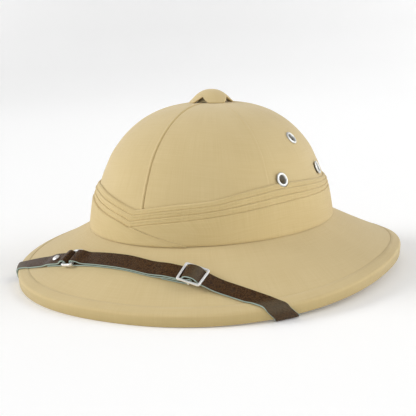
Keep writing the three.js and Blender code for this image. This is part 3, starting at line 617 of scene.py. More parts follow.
def crown_rows():
    """The crown's section from the vent hole down the outside and up the inside."""
    t = angles[:, None]
    start = climb_at(CROWN_FOOT)
    outside = np.concatenate([np.linspace(TOP_CLIMB, MIDDLE_CLIMB, 46),
                              np.linspace(MIDDLE_CLIMB, start, 56)[1:]])[None, :]
    height = crown_point(t, outside)[..., 2] - LIFT
    seat = -BAND_SEAT * (1 - ease(*SEAT_ENDS, height))
    outer = crown_skin(t, outside + 0 * t, seat + seam_relief(t, outside))
    inside = np.linspace(start, INNER_CLIMB, 34)[None, :]
    inner = crown_skin(t, inside + 0 * t, 0 * inside * t - CROWN_WALL)
    hole_edge = ((0.6, -CROWN_WALL), (0.0, 0.4 - CROWN_WALL), (0.0, -0.5), (0.6, -0.05), (2.5, 0.0))
    hole = [crown_top(t, VENT_RADIUS + wider, lift) for wider, lift in hole_edge]
    return np.concatenate([*hole, outer, inner], axis=1)


crown_cover = grid_mesh("crown_cover", crown_rows())
print("crown has", len(crown_cover.data.polygons), "faces before it is punched")

# %% [markdown]
# The crown has six small round holes for air. A Boolean modifier with six rods cuts them, which is the
# same thing as the punch that cuts them through cloth and cork. Each place is given as an angle from the
# front in degrees and a share of the crown's height, and the right side mirrors the left.

# %% Air holes in the crown
EYELET_RADIUS, EYELET_HOLE, BARREL_WALL, HOLE_RADIUS = 5.5, 3.3, 0.6, 4.2
EYELET_SPOTS = {"top": (89, 0.706), "front": (67, 0.421), "back": (102, 0.433)}


def spin(name, profile, sides, point, axis):
    """A closed profile of (radius, height) pairs turned about an axis, like work on a lathe."""
    profile = np.array(profile, dtype=float)
    turn = np.linspace(0, 2 * np.pi, sides, endpoint=False)[:, None]
    flat = np.stack([profile[None, :, 0] * np.cos(turn), profile[None, :, 0] * np.sin(turn),
                     profile[None, :, 1] + 0 * turn], axis=-1)
    swing = Vector((0, 0, 1)).rotation_difference(Vector(axis)).to_matrix()
    return grid_mesh(name, flat @ np.array(swing).T + point)


def eyelet_place(side, spot):
    """A point on the crown and the direction straight out of it."""
    degrees, share = EYELET_SPOTS[spot]
    t = np.array(math.radians(degrees) * side)
    climb = climb_at(share * CROWN_HEIGHT)
    return crown_point(t, climb), crown_normal(t, climb)


def rod_through(place_and_axis, radius, inside, outside):
    """A rod through the shell, from a depth inside it to a height over it."""
    profile = [(0.01, -inside), (radius, -inside), (radius, outside), (0.01, outside)]
    return spin("rod", profile, 32, *place_and_axis)


def punch(target, rods):
    """Cuts rods out of a mesh and removes them."""
    for rod in rods:
        cut = target.modifiers.new("punch", "BOOLEAN")
        cut.operation, cut.solver, cut.object = "DIFFERENCE", "EXACT", rod
    ready = target.evaluated_get(bpy.context.evaluated_depsgraph_get())
    mesh = bpy.data.meshes.new_from_object(ready)
    target.modifiers.clear()
    target.data = mesh
    for rod in rods:
        bpy.data.objects.remove(rod)


places = {(side, spot): eyelet_place(sign, spot)
          for side, sign in (("left", 1), ("right", -1)) for spot in EYELET_SPOTS}
punch(crown_cover, [rod_through(spot, HOLE_RADIUS, 9, 6) for spot in places.values()])
finish_piece(crown_cover, cover_cloth, "cotton_cloth", "crown")

# %% [markdown]
# ## Brim cover
#
# The brim slopes down and out from the crown and ends in a short turned-down lip. Its upper face is almost
# straight in section, with a slight sag. The cloth is pulled tight, so it shows very little but its weave
# and a faint ridge at each side, where it is joined. The same helper makes it, from its neck inside the
# band to the lip's core under the binding and back along its underside.

# %% Brim mesh
TOP_END, UNDER_END = 0.992, 0.12
RIDGE_HIGH, RIDGE_REACH, RIDGE_START = 0.35, 0.006, 0.02


def brim_rows():
    """The brim's section: neck, upper face, core of the lip, underside and inside corner."""
    t = angles[:, None]
    top_share = np.linspace(0, TOP_END, 40)[None, :]
    top = brim_top(t + 0 * top_share, top_share + 0 * t)
    top[..., 2] += RIDGE_HIGH * side_ridge(t, top_share)
    neck = crown_skin(t, climb_at(NECK_TOP) + 0 * t, 0 * t - BAND_SEAT)
    root = crown_skin(t, 0 * t, 0 * t - BAND_SEAT)
    root[..., 2] = LIFT
    core = [rim_point(t, inset, up) for inset, up in lip_outline(BINDING_CLOTH + CLOTH_GAP, 4)[1:-1]]
    under_share = np.linspace(1, UNDER_END, 24)[None, :]
    under = brim_under(t + 0 * under_share, under_share + 0 * t)
    turn = [inside_turn(t, k) for k in np.linspace(0, 1, 9)]
    end = crown_skin(t, climb_at(NECK_TOP) + 0 * t, 0 * t - CROWN_WALL)
    return np.concatenate([neck, root, top, *core, under, *turn, end], axis=1)


def side_ridge(t, share):
    """1 along the join of the brim's cloth at each side, and 0 away from it."""
    apart = np.abs(np.abs((t + np.pi) % (2 * np.pi) - np.pi) - np.pi / 2)
    return np.exp(-((apart / RIDGE_REACH) ** 2)) * (share > RIDGE_START)


brim_cover = grid_mesh("brim_cover", brim_rows())
finish_piece(brim_cover, cover_cloth, "cotton_cloth", "brim")

# %% [markdown]
# ## Binding of the rim
#
# A strip of the same cloth is folded over the lip, from the stitched crease above it to the inside below.
# It is carried round as one closed section: its outer face, its two folded edges and its inner face.
# A Solidify modifier on a thin sheet would be quicker, but it can't fold the edges in. Below the shoulder
# the points are marked for a painted shade, which darkens the lip's turned-down face.

# %% Binding mesh
BINDING_STEPS = 480
CREASE_FOLD = ((0.25, -0.25), (0.0, 0.05), (-0.5, 0.22))
INSIDE_GAP = 0.7
INSIDE_FOLD = ((0.0, 0.3), (0.3, 0.0), (0.7, 0.0), (1.0, 0.3))
# Shares of the height below the crease over which the painted shade comes in
SHADE_SHARE = 0.30, 0.55


def binding_rows():
    """The strip's section, from the crease over the lip to the inside and back within itself."""
    t = np.linspace(0, 2 * np.pi, BINDING_STEPS, endpoint=False)[:, None]
    end_up = lip_under(t) - INSIDE_GAP
    face = lip_outline(0, 10)
    fold = [face[:1] + [shift] for shift in CREASE_FOLD]
    outer = np.concatenate([*fold, face[:1] * 0.55 + face[1:2] * 0.45, face[1:-1]])
    inner = lip_outline(BINDING_CLOTH, 5)[:-1]
    rows = [rim_point(t, inset, up) for inset, up in outer]
    rows += [rim_point(t, LIP_THICKNESS - within, end_up - below) for within, below in INSIDE_FOLD]
    rows += [rim_point(t, inset, up) for inset, up in inner[::-1]]
    return np.concatenate(rows, axis=1)


rim_points = binding_rows()
rim_binding = grid_mesh("rim_binding", rim_points)
rim_height = rim_points[..., 2]
below_crease = rim_height.max(axis=1, keepdims=True) - rim_height
rim_share = below_crease / np.ptp(rim_height, axis=1, keepdims=True)
# Painted shade on the lip's turned-down face, coming in below the shoulder.
mark_points(rim_binding, "painted_shade", ease(*SHADE_SHARE, rim_share))
finish_piece(rim_binding, binding_cloth, "cotton_cloth", "brim_binding")

# %% [markdown]
# ## Band of pleated cloth
#
# A long piece of cloth is folded into narrow pleats and wrapped round the crown. The folds lie like roof
# tiles: each lower fold covers the foot of the one above. At the front the two halves meet in a V, and
# under the V the wearer's right half crosses over the left one in a slanting fold.
# A cloth simulation could fold it, but the folds would fall anew with each change. So their heights come
# from two short tables: the upper edge and the lowest fold, as shares of the band's height, at some
# angles from the front.

# %% Heights of the band's edges
LEFT_ROWS = {"degrees": (-4, 14, 33, 47, 63, 80, 118, 180),
             "upper_edge": (0.62, 0.73, 0.80, 0.91, 0.985, 0.95, 0.83, 0.83),
             "lowest_pleat": (0.28, 0.40, 0.49, 0.55, 0.61, 0.62, 0.59, 0.57)}
RIGHT_ROWS = {"degrees": (4, 10, 18, 30, 40, 55, 80, 180),
              "upper_edge": (0.62, 0.68, 0.76, 0.85, 0.90, 0.88, 0.86, 0.83),
              "lowest_pleat": (0.28, 0.35, 0.41, 0.49, 0.56, 0.59, 0.59, 0.57)}


def smooth_row(table, column, value, order="degrees"):
    """A smooth curve through one column of a table."""
    x, y = np.array(table[order], float), np.array(table[column])
    slope = np.empty(len(x))
    slope[1:-1] = (y[2:] - y[:-2]) / (x[2:] - x[:-2])
    slope[0], slope[-1] = (y[1] - y[0]) / (x[1] - x[0]), (y[-1] - y[-2]) / (x[-1] - x[-2])
    value = np.clip(value, x[0], x[-1])
    i = np.clip(np.searchsorted(x, value, side="right") - 1, 0, len(x) - 2)
    span = x[i + 1] - x[i]
    k = (value - x[i]) / span
    return flowing_curve(k, y[i], slope[i] * span, y[i + 1], slope[i + 1] * span)


print("band heights at 33 degrees",
      [round(float(smooth_row(LEFT_ROWS, c, 33)) * BAND_HEIGHT, 1) for c in ("upper_edge", "lowest_pleat")])

# %% [markdown]
# One fold in section is a rounded upper edge that stands proud, a face that runs back down with a pressed
# crease halfway, and a narrow crevice where the next fold begins. Only the uppermost edge is thin, as it
# lies flat on the crown. The band's section is a chain of such folds and a plain foot that flares over the
# brim. The tables draw it point by point: distances up and out in millimetres, and in FOLD_EDGE and
# CREASE_SHAPE also the share of the height by which a fold stands proud.

# %% Section of the band
PLEATS, FOLD_PROUD, UPPER_PROUD = 3, 0.85, 0.12
BAND_FOOT, BAND_CLOTH, BAND_FLARE, FLARE_POWER = 1.1, 1.1, 1.3, 2.4
UPPER_EDGE = ((0.6, 0.0), (0.12, 0.05), (0.0, 0.3), (0.12, 0.5), (0.45, 0.85), (0.8, 1.15), (1.05, 1.4))
FOLD_EDGE = ((0.4, 0.02, 0.0), (0.16, -0.35, 0.0), (0.06, 0.0, 0.0), (0.02, 0.0, 0.45),
             (-0.14, 0.0, 0.8), (-0.45, 0.0, 0.98), (-0.9, 0.0, 1.0))
CREASE_AT, CREASE_SHAPE = 0.48, ((0.3, 0.62, 0.0), (0.0, 0.62, 0.22), (-0.3, 0.50, 0.0))
FACE_END, FACE_END_PROUD = 0.8, 0.2
FOOT_SHARES, FOOT_START, FOOT_PROUD = (0.8, 0.62, 0.45, 0.3, 0.18, 0.08), 0.9, 0.15
HEM_LOW, BACK_SHARES = 0.75, (0.15, 0.35, 0.55, 0.78)


def fold_section(top, height, face, proud, uppermost, lowest):
    """One fold from its upper edge down to the crevice, or to the band's foot for the lowest one."""
    points = []
    if not uppermost:
        points += [(top + up, face + out + proud * share) for up, out, share in FOLD_EDGE]
    if not lowest:
        crease = top - height * CREASE_AT
        points += [(crease + up, face + proud * share - deep) for up, share, deep in CREASE_SHAPE]
        points.append((top - height * FACE_END, face + proud * FACE_END_PROUD))
    return points


def band_section(table, degrees, rise):
    """Heights and distances from the crown of the band's outline, at one angle."""
    upper = BAND_HEIGHT * smooth_row(table, "upper_edge", degrees)
    lowest = BAND_HEIGHT * smooth_row(table, "lowest_pleat", degrees)
    inner = 0.3 - BAND_SEAT
    face = CLOTH_GAP * 1.7 - BAND_SEAT + BAND_CLOTH
    fold = (upper - lowest) / PLEATS
    points = [(upper - below, inner + out) for below, out in UPPER_EDGE]
    for pleat in range(PLEATS + 1):
        last = pleat == PLEATS
        proud = (FOLD_PROUD if pleat else UPPER_PROUD) + (rise if last else 0)
        points += fold_section(upper - fold * pleat, fold, face, proud, pleat == 0, last)
    for share in FOOT_SHARES:
        flare = BAND_FLARE * (1 - share) ** FLARE_POWER
        points.append(((lowest - FOOT_START) * share,
                       face + rise + FOLD_PROUD * share * 0.8 + FOOT_PROUD + flare))
    low = -HEM_LOW - 0.5 * rise
    points += [(low + 0.35, face + rise + BAND_FLARE + 0.1), (low, face + rise + BAND_FLARE - 0.25),
               (low * 0.2, inner + BAND_FLARE), (BAND_FOOT, inner + BAND_FLARE * 0.7)]
    points += [(BAND_FOOT + (upper - BAND_FOOT) * share, inner) for share in BACK_SHARES]
    return np.array(points)


print("the band's section has", len(band_section(LEFT_ROWS, 33, 0)), "points")

# %% [markdown]
# The line where the halves meet slants a little through the pleats and then runs off across the front.
# Each half has its own section at every angle. The angles of its points are shifted until each point
# starts on that line, so the ends of the pleats form the V without any cutting. Under the V the left half
# is tucked in below the right one.

# %% Meeting of the two halves
CROSSING, OVERLAP, MEETING_SLANT, MEETING_GAP = -3.0, 19.0, 3.2, 0.015
SLANT_HOLDS, SLANT_FADES = 4, 12
SWEEP_START, SWEEP_END, SWEEP_STEP, TUCKED_TO = -30, 180.3, 0.25, 5
SWEEP = np.arange(SWEEP_START, SWEEP_END, SWEEP_STEP)
FRONT_ROW = int(-SWEEP_START / SWEEP_STEP)
MEETING_ROWS = int((TUCKED_TO - SWEEP_START) / SWEEP_STEP)
RIGHT_RISE = 0.7


def pleat_share(height, lowest, upper):
    """0 at the upper edge, 1 at the lowest pleat and under it."""
    return np.clip((upper - height) / (upper - lowest), 0, 1)


def meeting_angle(height, lowest, upper):
    """Where the two halves meet: slanting through the pleats, then across the front."""
    share = np.clip((lowest - height) / (lowest - BAND_FOOT), 0, 1.1)
    turn = CROSSING - MEETING_SLANT * pleat_share(height, lowest, upper)
    return turn + (OVERLAP - CROSSING + MEETING_SLANT) * share


def slanted_chart(side, lowest, upper):
    """The band's section at every angle, dragged along near the front by the slant of the meeting."""
    table, rise = (LEFT_ROWS, 0.0) if side > 0 else (RIGHT_ROWS, RIGHT_RISE)
    plain = np.array([band_section(table, degrees, rise) for degrees in SWEEP])
    top = plain[0, :, 0].max()
    share = pleat_share(plain[0, :, 0], top * lowest / upper, top)
    fading = np.exp(-np.maximum(SWEEP[:, None] - SLANT_HOLDS, 0) / SLANT_FADES)
    drag = MEETING_SLANT * share[None, :] * fading
    return np.stack([np.stack([np.interp(SWEEP + side * drag[:, k], SWEEP, plain[:, k, c])
                               for k in range(plain.shape[1])], axis=-1) for c in (0, 1)], axis=-1)


print("the halves meet", CROSSING, "degrees from the front at the upper edge")

# %% [markdown]
# Close to the meeting line the rows stand closely together, and the half on top gets a rounded edge with a
# small crest behind it, as folded cloth has. Two rods leave room in the band for the eyelets.

# %% Both halves of the band
NEAR_ROWS, NEAR_END, NEAR_CROWDING = 90, 40.0, 1.3
FAR_ROWS, BACK_DEGREES = 130, 179.95
CROSSING_PROUD, CREST_AT, CREST_WIDE = 0.45, 0.7, 0.45
CROSSING_ROUND, ROUND_WIDE, OUTER_FACE = 0.35, 0.3, 0.9
EYELET_ROOM = 5.9


def wrap_rows(side):
    """One half of the band, from where it meets the other half at the front to the back."""
    lowest, upper = (BAND_HEIGHT * smooth_row(LEFT_ROWS, c, 0) for c in ("lowest_pleat", "upper_edge"))
    chart = slanted_chart(side, lowest, upper)
    past = SWEEP[:, None] - side * meeting_angle(chart[..., 0], lowest, upper)
    fronts = np.array([np.interp(MEETING_GAP, past[:MEETING_ROWS, k], SWEEP[:MEETING_ROWS])
                       for k in range(chart.shape[1])])
    crossing = (chart[FRONT_ROW, :, 0] < lowest) * (side < 0)
    steps = np.linspace(0, 1, NEAR_ROWS)[:, None] ** NEAR_CROWDING
    near = fronts[None, :] + (NEAR_END - fronts[None, :]) * steps
    far = np.linspace(NEAR_END, BACK_DEGREES, FAR_ROWS)[1:, None] + 0 * fronts[None, :]
    degrees = np.concatenate([near, far])
    points = np.zeros((*degrees.shape, 3))
    for k in range(degrees.shape[1]):
        height, offset = (np.interp(degrees[:, k], SWEEP, chart[:, k, c]) for c in (0, 1))
        beyond = degrees[:, k] - fronts[k]
        edge = CROSSING_PROUD * np.exp(-((beyond - CREST_AT) / CREST_WIDE) ** 2)
        edge -= CROSSING_ROUND * np.exp(-((beyond / ROUND_WIDE) ** 2))
        offset = offset + edge * crossing[k] * (offset > OUTER_FACE)
        points[:, k] = crown_skin(side * np.radians(degrees[:, k]), climb_at(height), offset)
        points[:, k, 2] += np.minimum(height, 0)
    return points


for side, sign in (("left", 1), ("right", -1)):
    wrap = grid_mesh(f"band_{side}", wrap_rows(sign), around=False, caps=True)
    punch(wrap, [rod_through(places[side, spot], EYELET_ROOM, 4, 8) for spot in ("front", "back")])
    finish_piece(wrap, band_cloth, "band_cloth", f"band_wrap_{side}")

# %% [markdown]
# ## Vent cap
#
# Air leaves through a hole in the top. A small cloth-covered cap on four arms keeps rain out of it.
# Between the arms its edge is arched, and the edge is hemmed, so it is thicker there and rounded. A whole
# cap with the arches cut out would leave sharp edges, so the rows of points end at the arches instead.

# %% Vent cap mesh
CAP_RADIUS, CAP_HEIGHT, CAP_WALL, CAP_PROFILE = 17.6, 10.4, 2.0, 2.2
CAP_ARM, CAP_ARCH, CAP_TURN, ARCH_POINTED = 13.0, 4.5, 42.0, 1.08
CAP_STEPS, CAP_SEAT = 160, 0.3
HEM_REACH, HEM_THICK, HEM_ROUND = 0.07, 0.45, 0.6
VENT_MIDDLE_Y = crown_top(0.0, 0.001, 0.0)[1]


def cap_rows():
    """Rows from the middle of the cap over its outside to the hem, and back along its inside."""
    index = np.arange(CAP_STEPS) / CAP_STEPS
    t = np.radians(CAP_TURN) + 2 * np.pi * index
    from_arm = np.abs((index * 4 + 0.5) % 1 - 0.5) * np.pi / 2
    gap = np.pi / 4 - math.asin(CAP_ARM / 2 / CAP_RADIUS)
    arch = CAP_ARCH * np.clip(ARCH_POINTED * (1 - (np.pi / 4 - from_arm) / gap), 0, 1)
    foot = crown_top(np.radians(CAP_TURN), CAP_RADIUS, CAP_SEAT)[2]

    def surface(radius, height, share):
        ground = crown_top(t, radius, CAP_SEAT)[:, 2] - foot
        edge = radius * np.clip(1 - (arch + ground) / height, 0, 1) ** (1 / CAP_PROFILE)
        r = edge[:, None] * share[None, :]
        z = foot + height * (1 - (r / radius) ** CAP_PROFILE)
        return np.stack([r * np.sin(t)[:, None], VENT_MIDDLE_Y - r * np.cos(t)[:, None], z], axis=-1)

    share = np.concatenate([[0.02], np.linspace(0.08, 1, 22)])
    outer = surface(CAP_RADIUS, CAP_HEIGHT, share)
    inner = surface(CAP_RADIUS - CAP_WALL, CAP_HEIGHT - CAP_WALL, share)
    hem = np.exp(-(((1 - share) / HEM_REACH) ** 2))[None, :, None]
    away = unit(outer - inner)
    outer = outer + away * hem * HEM_THICK
    rim = (outer[:, -1:] + inner[:, -1:]) / 2 + unit(outer[:, -1:] - outer[:, -3:-2]) * HEM_ROUND
    return np.concatenate([outer, rim, inner[:, ::-1]], axis=1)


vent_cover = grid_mesh("vent_cover", cap_rows())
finish_piece(vent_cover, cover_cloth, "cotton_cloth", "vent_cap")

# %% [markdown]
# Under the cap a short ring of stiff cloth lines the hole. Only a little of it shows between the arms. Its
# cloth is paler than the cover: partly its own pale colour, partly painted light, so that it reads as lit in
# the shade under the cap. It is round, so it is turned from a profile of (radius, height) pairs, like work
# on a lathe.

# %% Vent ring
vent_profile = [(6.7, -4.6), (8.7, -4.6), (8.7, 0.2), (9.0, 0.35), (11.0, 0.35), (11.2, 0.7), (11.0, 1.2),
                (9.2, 1.4), (8.8, 2.4), (7.8, 2.8), (6.8, 2.4)]
vent_middle = np.array([0.0, VENT_MIDDLE_Y, CROWN_HEIGHT + LIFT])
vent_ring = spin("vent_ring", vent_profile, 64, vent_middle, (0, 0, 1))
# Paler cloth for the ring: partly its own colour, partly painted light for the shade under the cap.
pale_and_lit_lining_cloth = cotton("pale lining cloth", (0.88, 0.78, 0.52), (0.78, 0.67, 0.42))
finish_piece(vent_ring, pale_and_lit_lining_cloth, "cotton_cloth", "vent_collar")

# %% [markdown]
# ## Metal finishes
#
# The buckle, ring and stud are bright plated steel, and the eyelets are duller plated brass.
# Handling leaves fine scratches and a slightly cloudy skin, so the roughness changes over the surface.
# A mirror-like metal would show only the pale room, so the bright one is mixed with a plain pale coat
# through a lower Metallic value: a painted reflection, standing in for the bright glints of the plating.

# %% Metal finish
def plated(name, colour, low, high, shine=1.0):
    """Plated metal whose roughness lies between low and high."""
    metal = Finish(name)
    spot = metal.node("ShaderNodeTexCoord", output=3)
    scratches = metal.noise(metal.node("ShaderNodeMapping", inputs={
        "Vector": spot, "Scale": (900.0, 220.0, 900.0)}), 1.0, 4.0, 0.7)
    cloud = metal.noise(spot, 240.0, 2.0)
    relief = metal.node("ShaderNodeBump", inputs={"Height": scratches, "Strength": 0.06, "Distance": 0.0001})
    tint = metal.mix((cloud * 1.4 - 0.2).limit(), tuple(c * 0.86 for c in colour), colour)
    return metal.set(Base_Color=tint, Metallic=shine, Normal=relief,
                     Roughness=scratches * (high - low) + low)


# The bright metal's pale coat is a painted reflection for the glints of the plating.
bright_metal = plated("bright plated steel", (0.99, 0.99, 0.98), 0.20, 0.42, 0.55)
eyelet_metal = plated("dull plated brass", (0.78, 0.79, 0.77), 0.30, 0.60)
print("metals", bright_metal.name, "and", eyelet_metal.name)

# %% [markdown]
# An eyelet is a short tube with a rolled flange, pressed through the cloth and turned over inside. All six
# are alike, so one profile is turned about the six directions straight out of the crown.

# %% Eyelets
def eyelet_profile():
    """A barrel with a rolled flange outside and a small turned edge inside."""
    roll = [(EYELET_RADIUS - 0.15 + 0.15 * math.cos(a), 0.35 + 0.35 * math.sin(a))
            for a in np.linspace(-math.pi / 2, math.pi / 2, 5)]
    crest = [(4.9, 1.0), (4.4, 1.15), (3.9, 1.05), (3.5, 0.75), (EYELET_HOLE, 0.2)]
    tail = -CROWN_WALL - 0.6
    return [(EYELET_HOLE + BARREL_WALL, 0.3), *roll, *crest, (EYELET_HOLE, tail), (3.6, tail - 0.15),
            (EYELET_HOLE + BARREL_WALL, tail)]


for (side, spot), (point, axis) in places.items():
    eyelet = spin(f"eyelet_ring_{side}_{spot}", eyelet_profile(), 48, point, axis)
    finish_piece(eyelet, eyelet_metal, "eyelet_metal", f"eyelet_{side}_{spot}")

# %% [markdown]
# ## Where the chin strap runs
#
# The strap is worn up over the front of the brim. It lies on the brim, bends over the rim on both sides and
# runs back under the brim to its fixings inside the crown. To lay it, the helmet's skin is unrolled into a
# chart: one direction is the angle round the helmet, the other the distance past the crease. A Shrinkwrap
# modifier could pull a flat strap on to the brim, but not round the rim and back underneath.

# %% Chart of the helmet's skin
CHART_T = np.radians(np.arange(-100, 100.01, 0.5))
CHART_PAST = np.arange(-75, 130.01, 0.4)
LIP_ARC, INNER_LIP = 12, 11
UNDER_START, WALL_CLIMBS = 0.55, (0.12, 0.6)


def skin_line(t):
    """Points of the skin at one angle: the brim's top, over the lip, the underside and the inner wall."""
    t = np.array([t])
    share = np.linspace(0, 1, 60)
    top = brim_top(t + 0 * share, share)
    arc = lip_outline(0, LIP_ARC)[:-INNER_LIP]
    lip = np.array([rim_point(t, inset, up)[0] for inset, up in arc])
    under_share = np.linspace(UNDER_START, UNDER_END, 8)
    under = brim_under(t + 0 * under_share, under_share)
    turn = np.array([inside_turn(t, k)[0] for k in np.linspace(0, 1, 9)])
    climbs = np.linspace(*WALL_CLIMBS, 20)
    wall = crown_skin(t + 0 * climbs, climbs, 0 * climbs - CROWN_WALL)
    line = np.concatenate([top, lip[1:], under, turn, wall])
    along = run_lengths(line)
    along -= along[len(top) - 1]
    return np.stack([np.interp(CHART_PAST, along, line[:, k]) for k in range(3)], axis=-1)


chart = np.array([skin_line(t) for t in CHART_T])


def look_up(table, t, past):
    """Value of a chart between its grid points."""
    i = np.clip((t - CHART_T[0]) / (CHART_T[1] - CHART_T[0]), 0, len(CHART_T) - 1.001)
    j = np.clip((past - CHART_PAST[0]) / (CHART_PAST[1] - CHART_PAST[0]), 0, len(CHART_PAST) - 1.001)
    i0, j0 = np.floor(i).astype(int), np.floor(j).astype(int)
    a, b = (i - i0)[..., None], (j - j0)[..., None]
    return (table[i0, j0] * (1 - a) * (1 - b) + table[i0 + 1, j0] * a * (1 - b)
            + table[i0, j0 + 1] * (1 - a) * b + table[i0 + 1, j0 + 1] * a * b)


chart_round = np.gradient(chart, CHART_T, axis=0)
chart_out = np.gradient(chart, CHART_PAST, axis=1)
chart_normal = unit(np.cross(chart_out, chart_round))
print("chart of", chart.shape[0], "by", chart.shape[1], "points")

# %% [markdown]
# The strap's line over the brim is a slight bow across the front. Past the crease it keeps its direction
# and then swings towards its fixing near the temples, as a belt finds its own way round an edge.

# %% Lane of the strap
STRAP_WIDTH, STRAP_THICKNESS = 12.7, 1.3
STRAP_ROWS = {"to_left": (-125, -100, -80, -51, -20, 0, 22, 51, 75, 125),
              "set_back": (61, 55.4, 50.2, 43.4, 39.2, 37.8, 36.8, 39.6, 43, 50.4)}
SLANT_KEPT, TURN_RUN = 0.58, 2.5
ANCHOR_DEGREES, ANCHOR_HEIGHT, END_MARGIN = 80.0, 16.0, 7.0
CROSSING_SEARCH = math.radians(20), math.radians(80)
BRIM_SEARCH, WALL_SEARCH = (0, 74), (60, 129)


def bisect(rising, low, high):
    """Where a rising function passes zero, by halving the interval 40 times."""
    for _ in range(40):
        middle = (low + high) / 2
        low, high = (low, middle) if rising(middle) > 0 else (middle, high)
    return (low + high) / 2


def ahead(t, past):
    """How far a point of the skin lies behind the strap's line."""
    x, y, _ = look_up(chart, np.array(t), np.array(past))
    return y + BRIM_LENGTH / 2 - smooth_row(STRAP_ROWS, "set_back", x, "to_left")


left_crossing = bisect(lambda t: ahead(t, 0), *CROSSING_SEARCH)
right_crossing = -bisect(lambda t: ahead(-t, 0), *CROSSING_SEARCH)
lane = [(t, -bisect(lambda back: ahead(t, -back), *BRIM_SEARCH))
        for t in np.linspace(right_crossing, left_crossing, 200)]


def hidden_lane(crossing, beside, side):
    """The stretch over the rim, under the brim and up the inner wall."""
    slope = (crossing[0] - beside[0]) / (crossing[1] - beside[1])
    fixing = side * math.radians(ANCHOR_DEGREES)
    reach = bisect(lambda past: look_up(chart, np.array(fixing), np.array(past))[2] - LIFT - ANCHOR_HEIGHT,
                   *WALL_SEARCH)
    end = reach + END_MARGIN
    kept = slope * SLANT_KEPT
    lost = (slope - kept) * TURN_RUN
    past = np.linspace(0, end, 200)[1:]
    k = past / end
    t = flowing_curve(k, crossing[0], kept * end, fixing - lost, 0) + lost * (1 - np.exp(-past / TURN_RUN))
    return list(zip(t, past))


lane = hidden_lane(lane[0], lane[1], -1)[::-1] + lane + hidden_lane(lane[-1], lane[-2], 1)
lane_t, lane_past = np.array(lane).T
lane_points = look_up(chart, lane_t, lane_past)
lane_along = run_lengths(lane_points)
LANE_END = float(lane_along[-1])
print("strap loop over the brim is", round(LANE_END), "mm from fixing to fixing")

# %% [markdown]
# The strap and its metal parts are now drawn as on a flat table: along the lane, across it and over it.
# One function lays any such drawing on the helmet. Under the rim the cross direction swings until it is
# parallel to the rim, as leather does when it is pulled round an edge at a slant.

# %% From the lane to the helmet
FRONT_REACH, STEP_BESIDE = 110, 0.5
SWING_PAST = -11, 3


def along_at_x(x):
    """Distance along the lane of a point over the brim."""
    middle = np.abs(lane_along - LANE_END / 2) < FRONT_REACH
    return float(np.interp(x, lane_points[middle, 0], lane_along[middle]))


def on_lane(along, across, height):
    """Points of the helmet by distance along the lane, across it and over the skin."""
    t, past = (np.interp(along, lane_along, c) for c in (lane_t, lane_past))
    step_t, step_past = (np.interp(along + STEP_BESIDE, lane_along, c)
                         - np.interp(along - STEP_BESIDE, lane_along, c) for c in (lane_t, lane_past))
    speed = np.linalg.norm(look_up(chart_round, t, past), axis=-1)
    heading = unit(np.stack([step_t * speed, step_past], axis=-1))
    square = np.stack([heading[..., 1], -heading[..., 0]], axis=-1)
    parallel = np.stack([np.sign(square[..., 0]), 0 * past], axis=-1)
    swing = ease(*SWING_PAST, past)[..., None]
    cross = unit(square * (1 - swing) + parallel * swing)
    reach = across / np.abs(cross[..., 0] * heading[..., 1] - cross[..., 1] * heading[..., 0])
    t, past = t + cross[..., 0] * reach / speed, past + cross[..., 1] * reach
    return look_up(chart, t, past) + unit(look_up(chart_normal, t, past)) * height[..., None]


print("the strap's middle is at", lane_points[len(lane_points) // 2].round(1), "mm")

# %% [markdown]
# Layers of leather lie on one another with a small gap, and every height is counted in layers. The metal
# parts follow from the leather: a bar lies as high as the leather that turns round it needs.

# %% Heights of the layers and places of the metal
GAP = 0.3
LAYER = GAP + STRAP_THICKNESS
ONE = GAP + STRAP_THICKNESS / 2
RIM = ONE + 0.15
TWO, THREE = ONE + LAYER, ONE + 2 * LAYER
RING_X, RING_LENGTH, RING_WIDTH, RING_WIRE = -51.0, 10.8, 18.0, 1.8
BUCKLE_X, BUCKLE_LENGTH, BUCKLE_WIDTH, BUCKLE_BAR, BUCKLE_THICKNESS = 51.0, 18.0, 17.2, 1.6, 1.3
STUD_X, STRAP_END_X, STRAP_TAIL_X = -69.0, 30.0, -75.5
BUCKLE_TURN = -5.0
HALF_DIAGONAL = 0.707


def turn_round(bar):
    """Radius at which the leather's middle turns round a square bar, clear of its corners."""
    return bar * HALF_DIAGONAL + GAP + STRAP_THICKNESS / 2


ring_middle = along_at_x(RING_X)
ring_bar = (RING_LENGTH - RING_WIRE) / 2
ring_turn = turn_round(RING_WIRE)
ring_level = ONE + ring_turn
buckle_middle = along_at_x(BUCKLE_X)
bar_turn = turn_round(BUCKLE_THICKNESS)
frame_level = THREE + (LAYER + BUCKLE_THICKNESS) / 2
bar_level = TWO + bar_turn
hump_level = bar_level + bar_turn + LAYER
print("ring at", round(ring_middle), "mm, buckle at", round(buckle_middle), "mm along the strap")

# %% [markdown]
# ## Leather
#
# The strap is chrome-tanned leather with a pigmented, slightly glossy skin. Its grain is a net of tiny
# cells, made with a Voronoi texture and noise, and in patches it is rubbed to a greyer brown. Where it bends
# over the rim and over the buckle's bar, a paler grey is painted in as a painted sheen. The cut edges are
# not dyed through, so they show a grey-green core. A picture of leather would repeat and would have to be
# kept with the part. Two numbers on each point of the mesh say how far it is cut edge, and where the
# painted sheen lies.

# %% Leather finish
BROWN, DEEP_BROWN, RUBBED_BROWN = (0.108, 0.051, 0.014), (0.022, 0.008, 0.003), (0.070, 0.042, 0.020)
# The first colour on this line is a painted sheen for the bends; CUT_EDGE is the leather's undyed core.
BEND_SHEEN, CUT_EDGE = (0.115, 0.090, 0.055), (0.40, 0.52, 0.47)

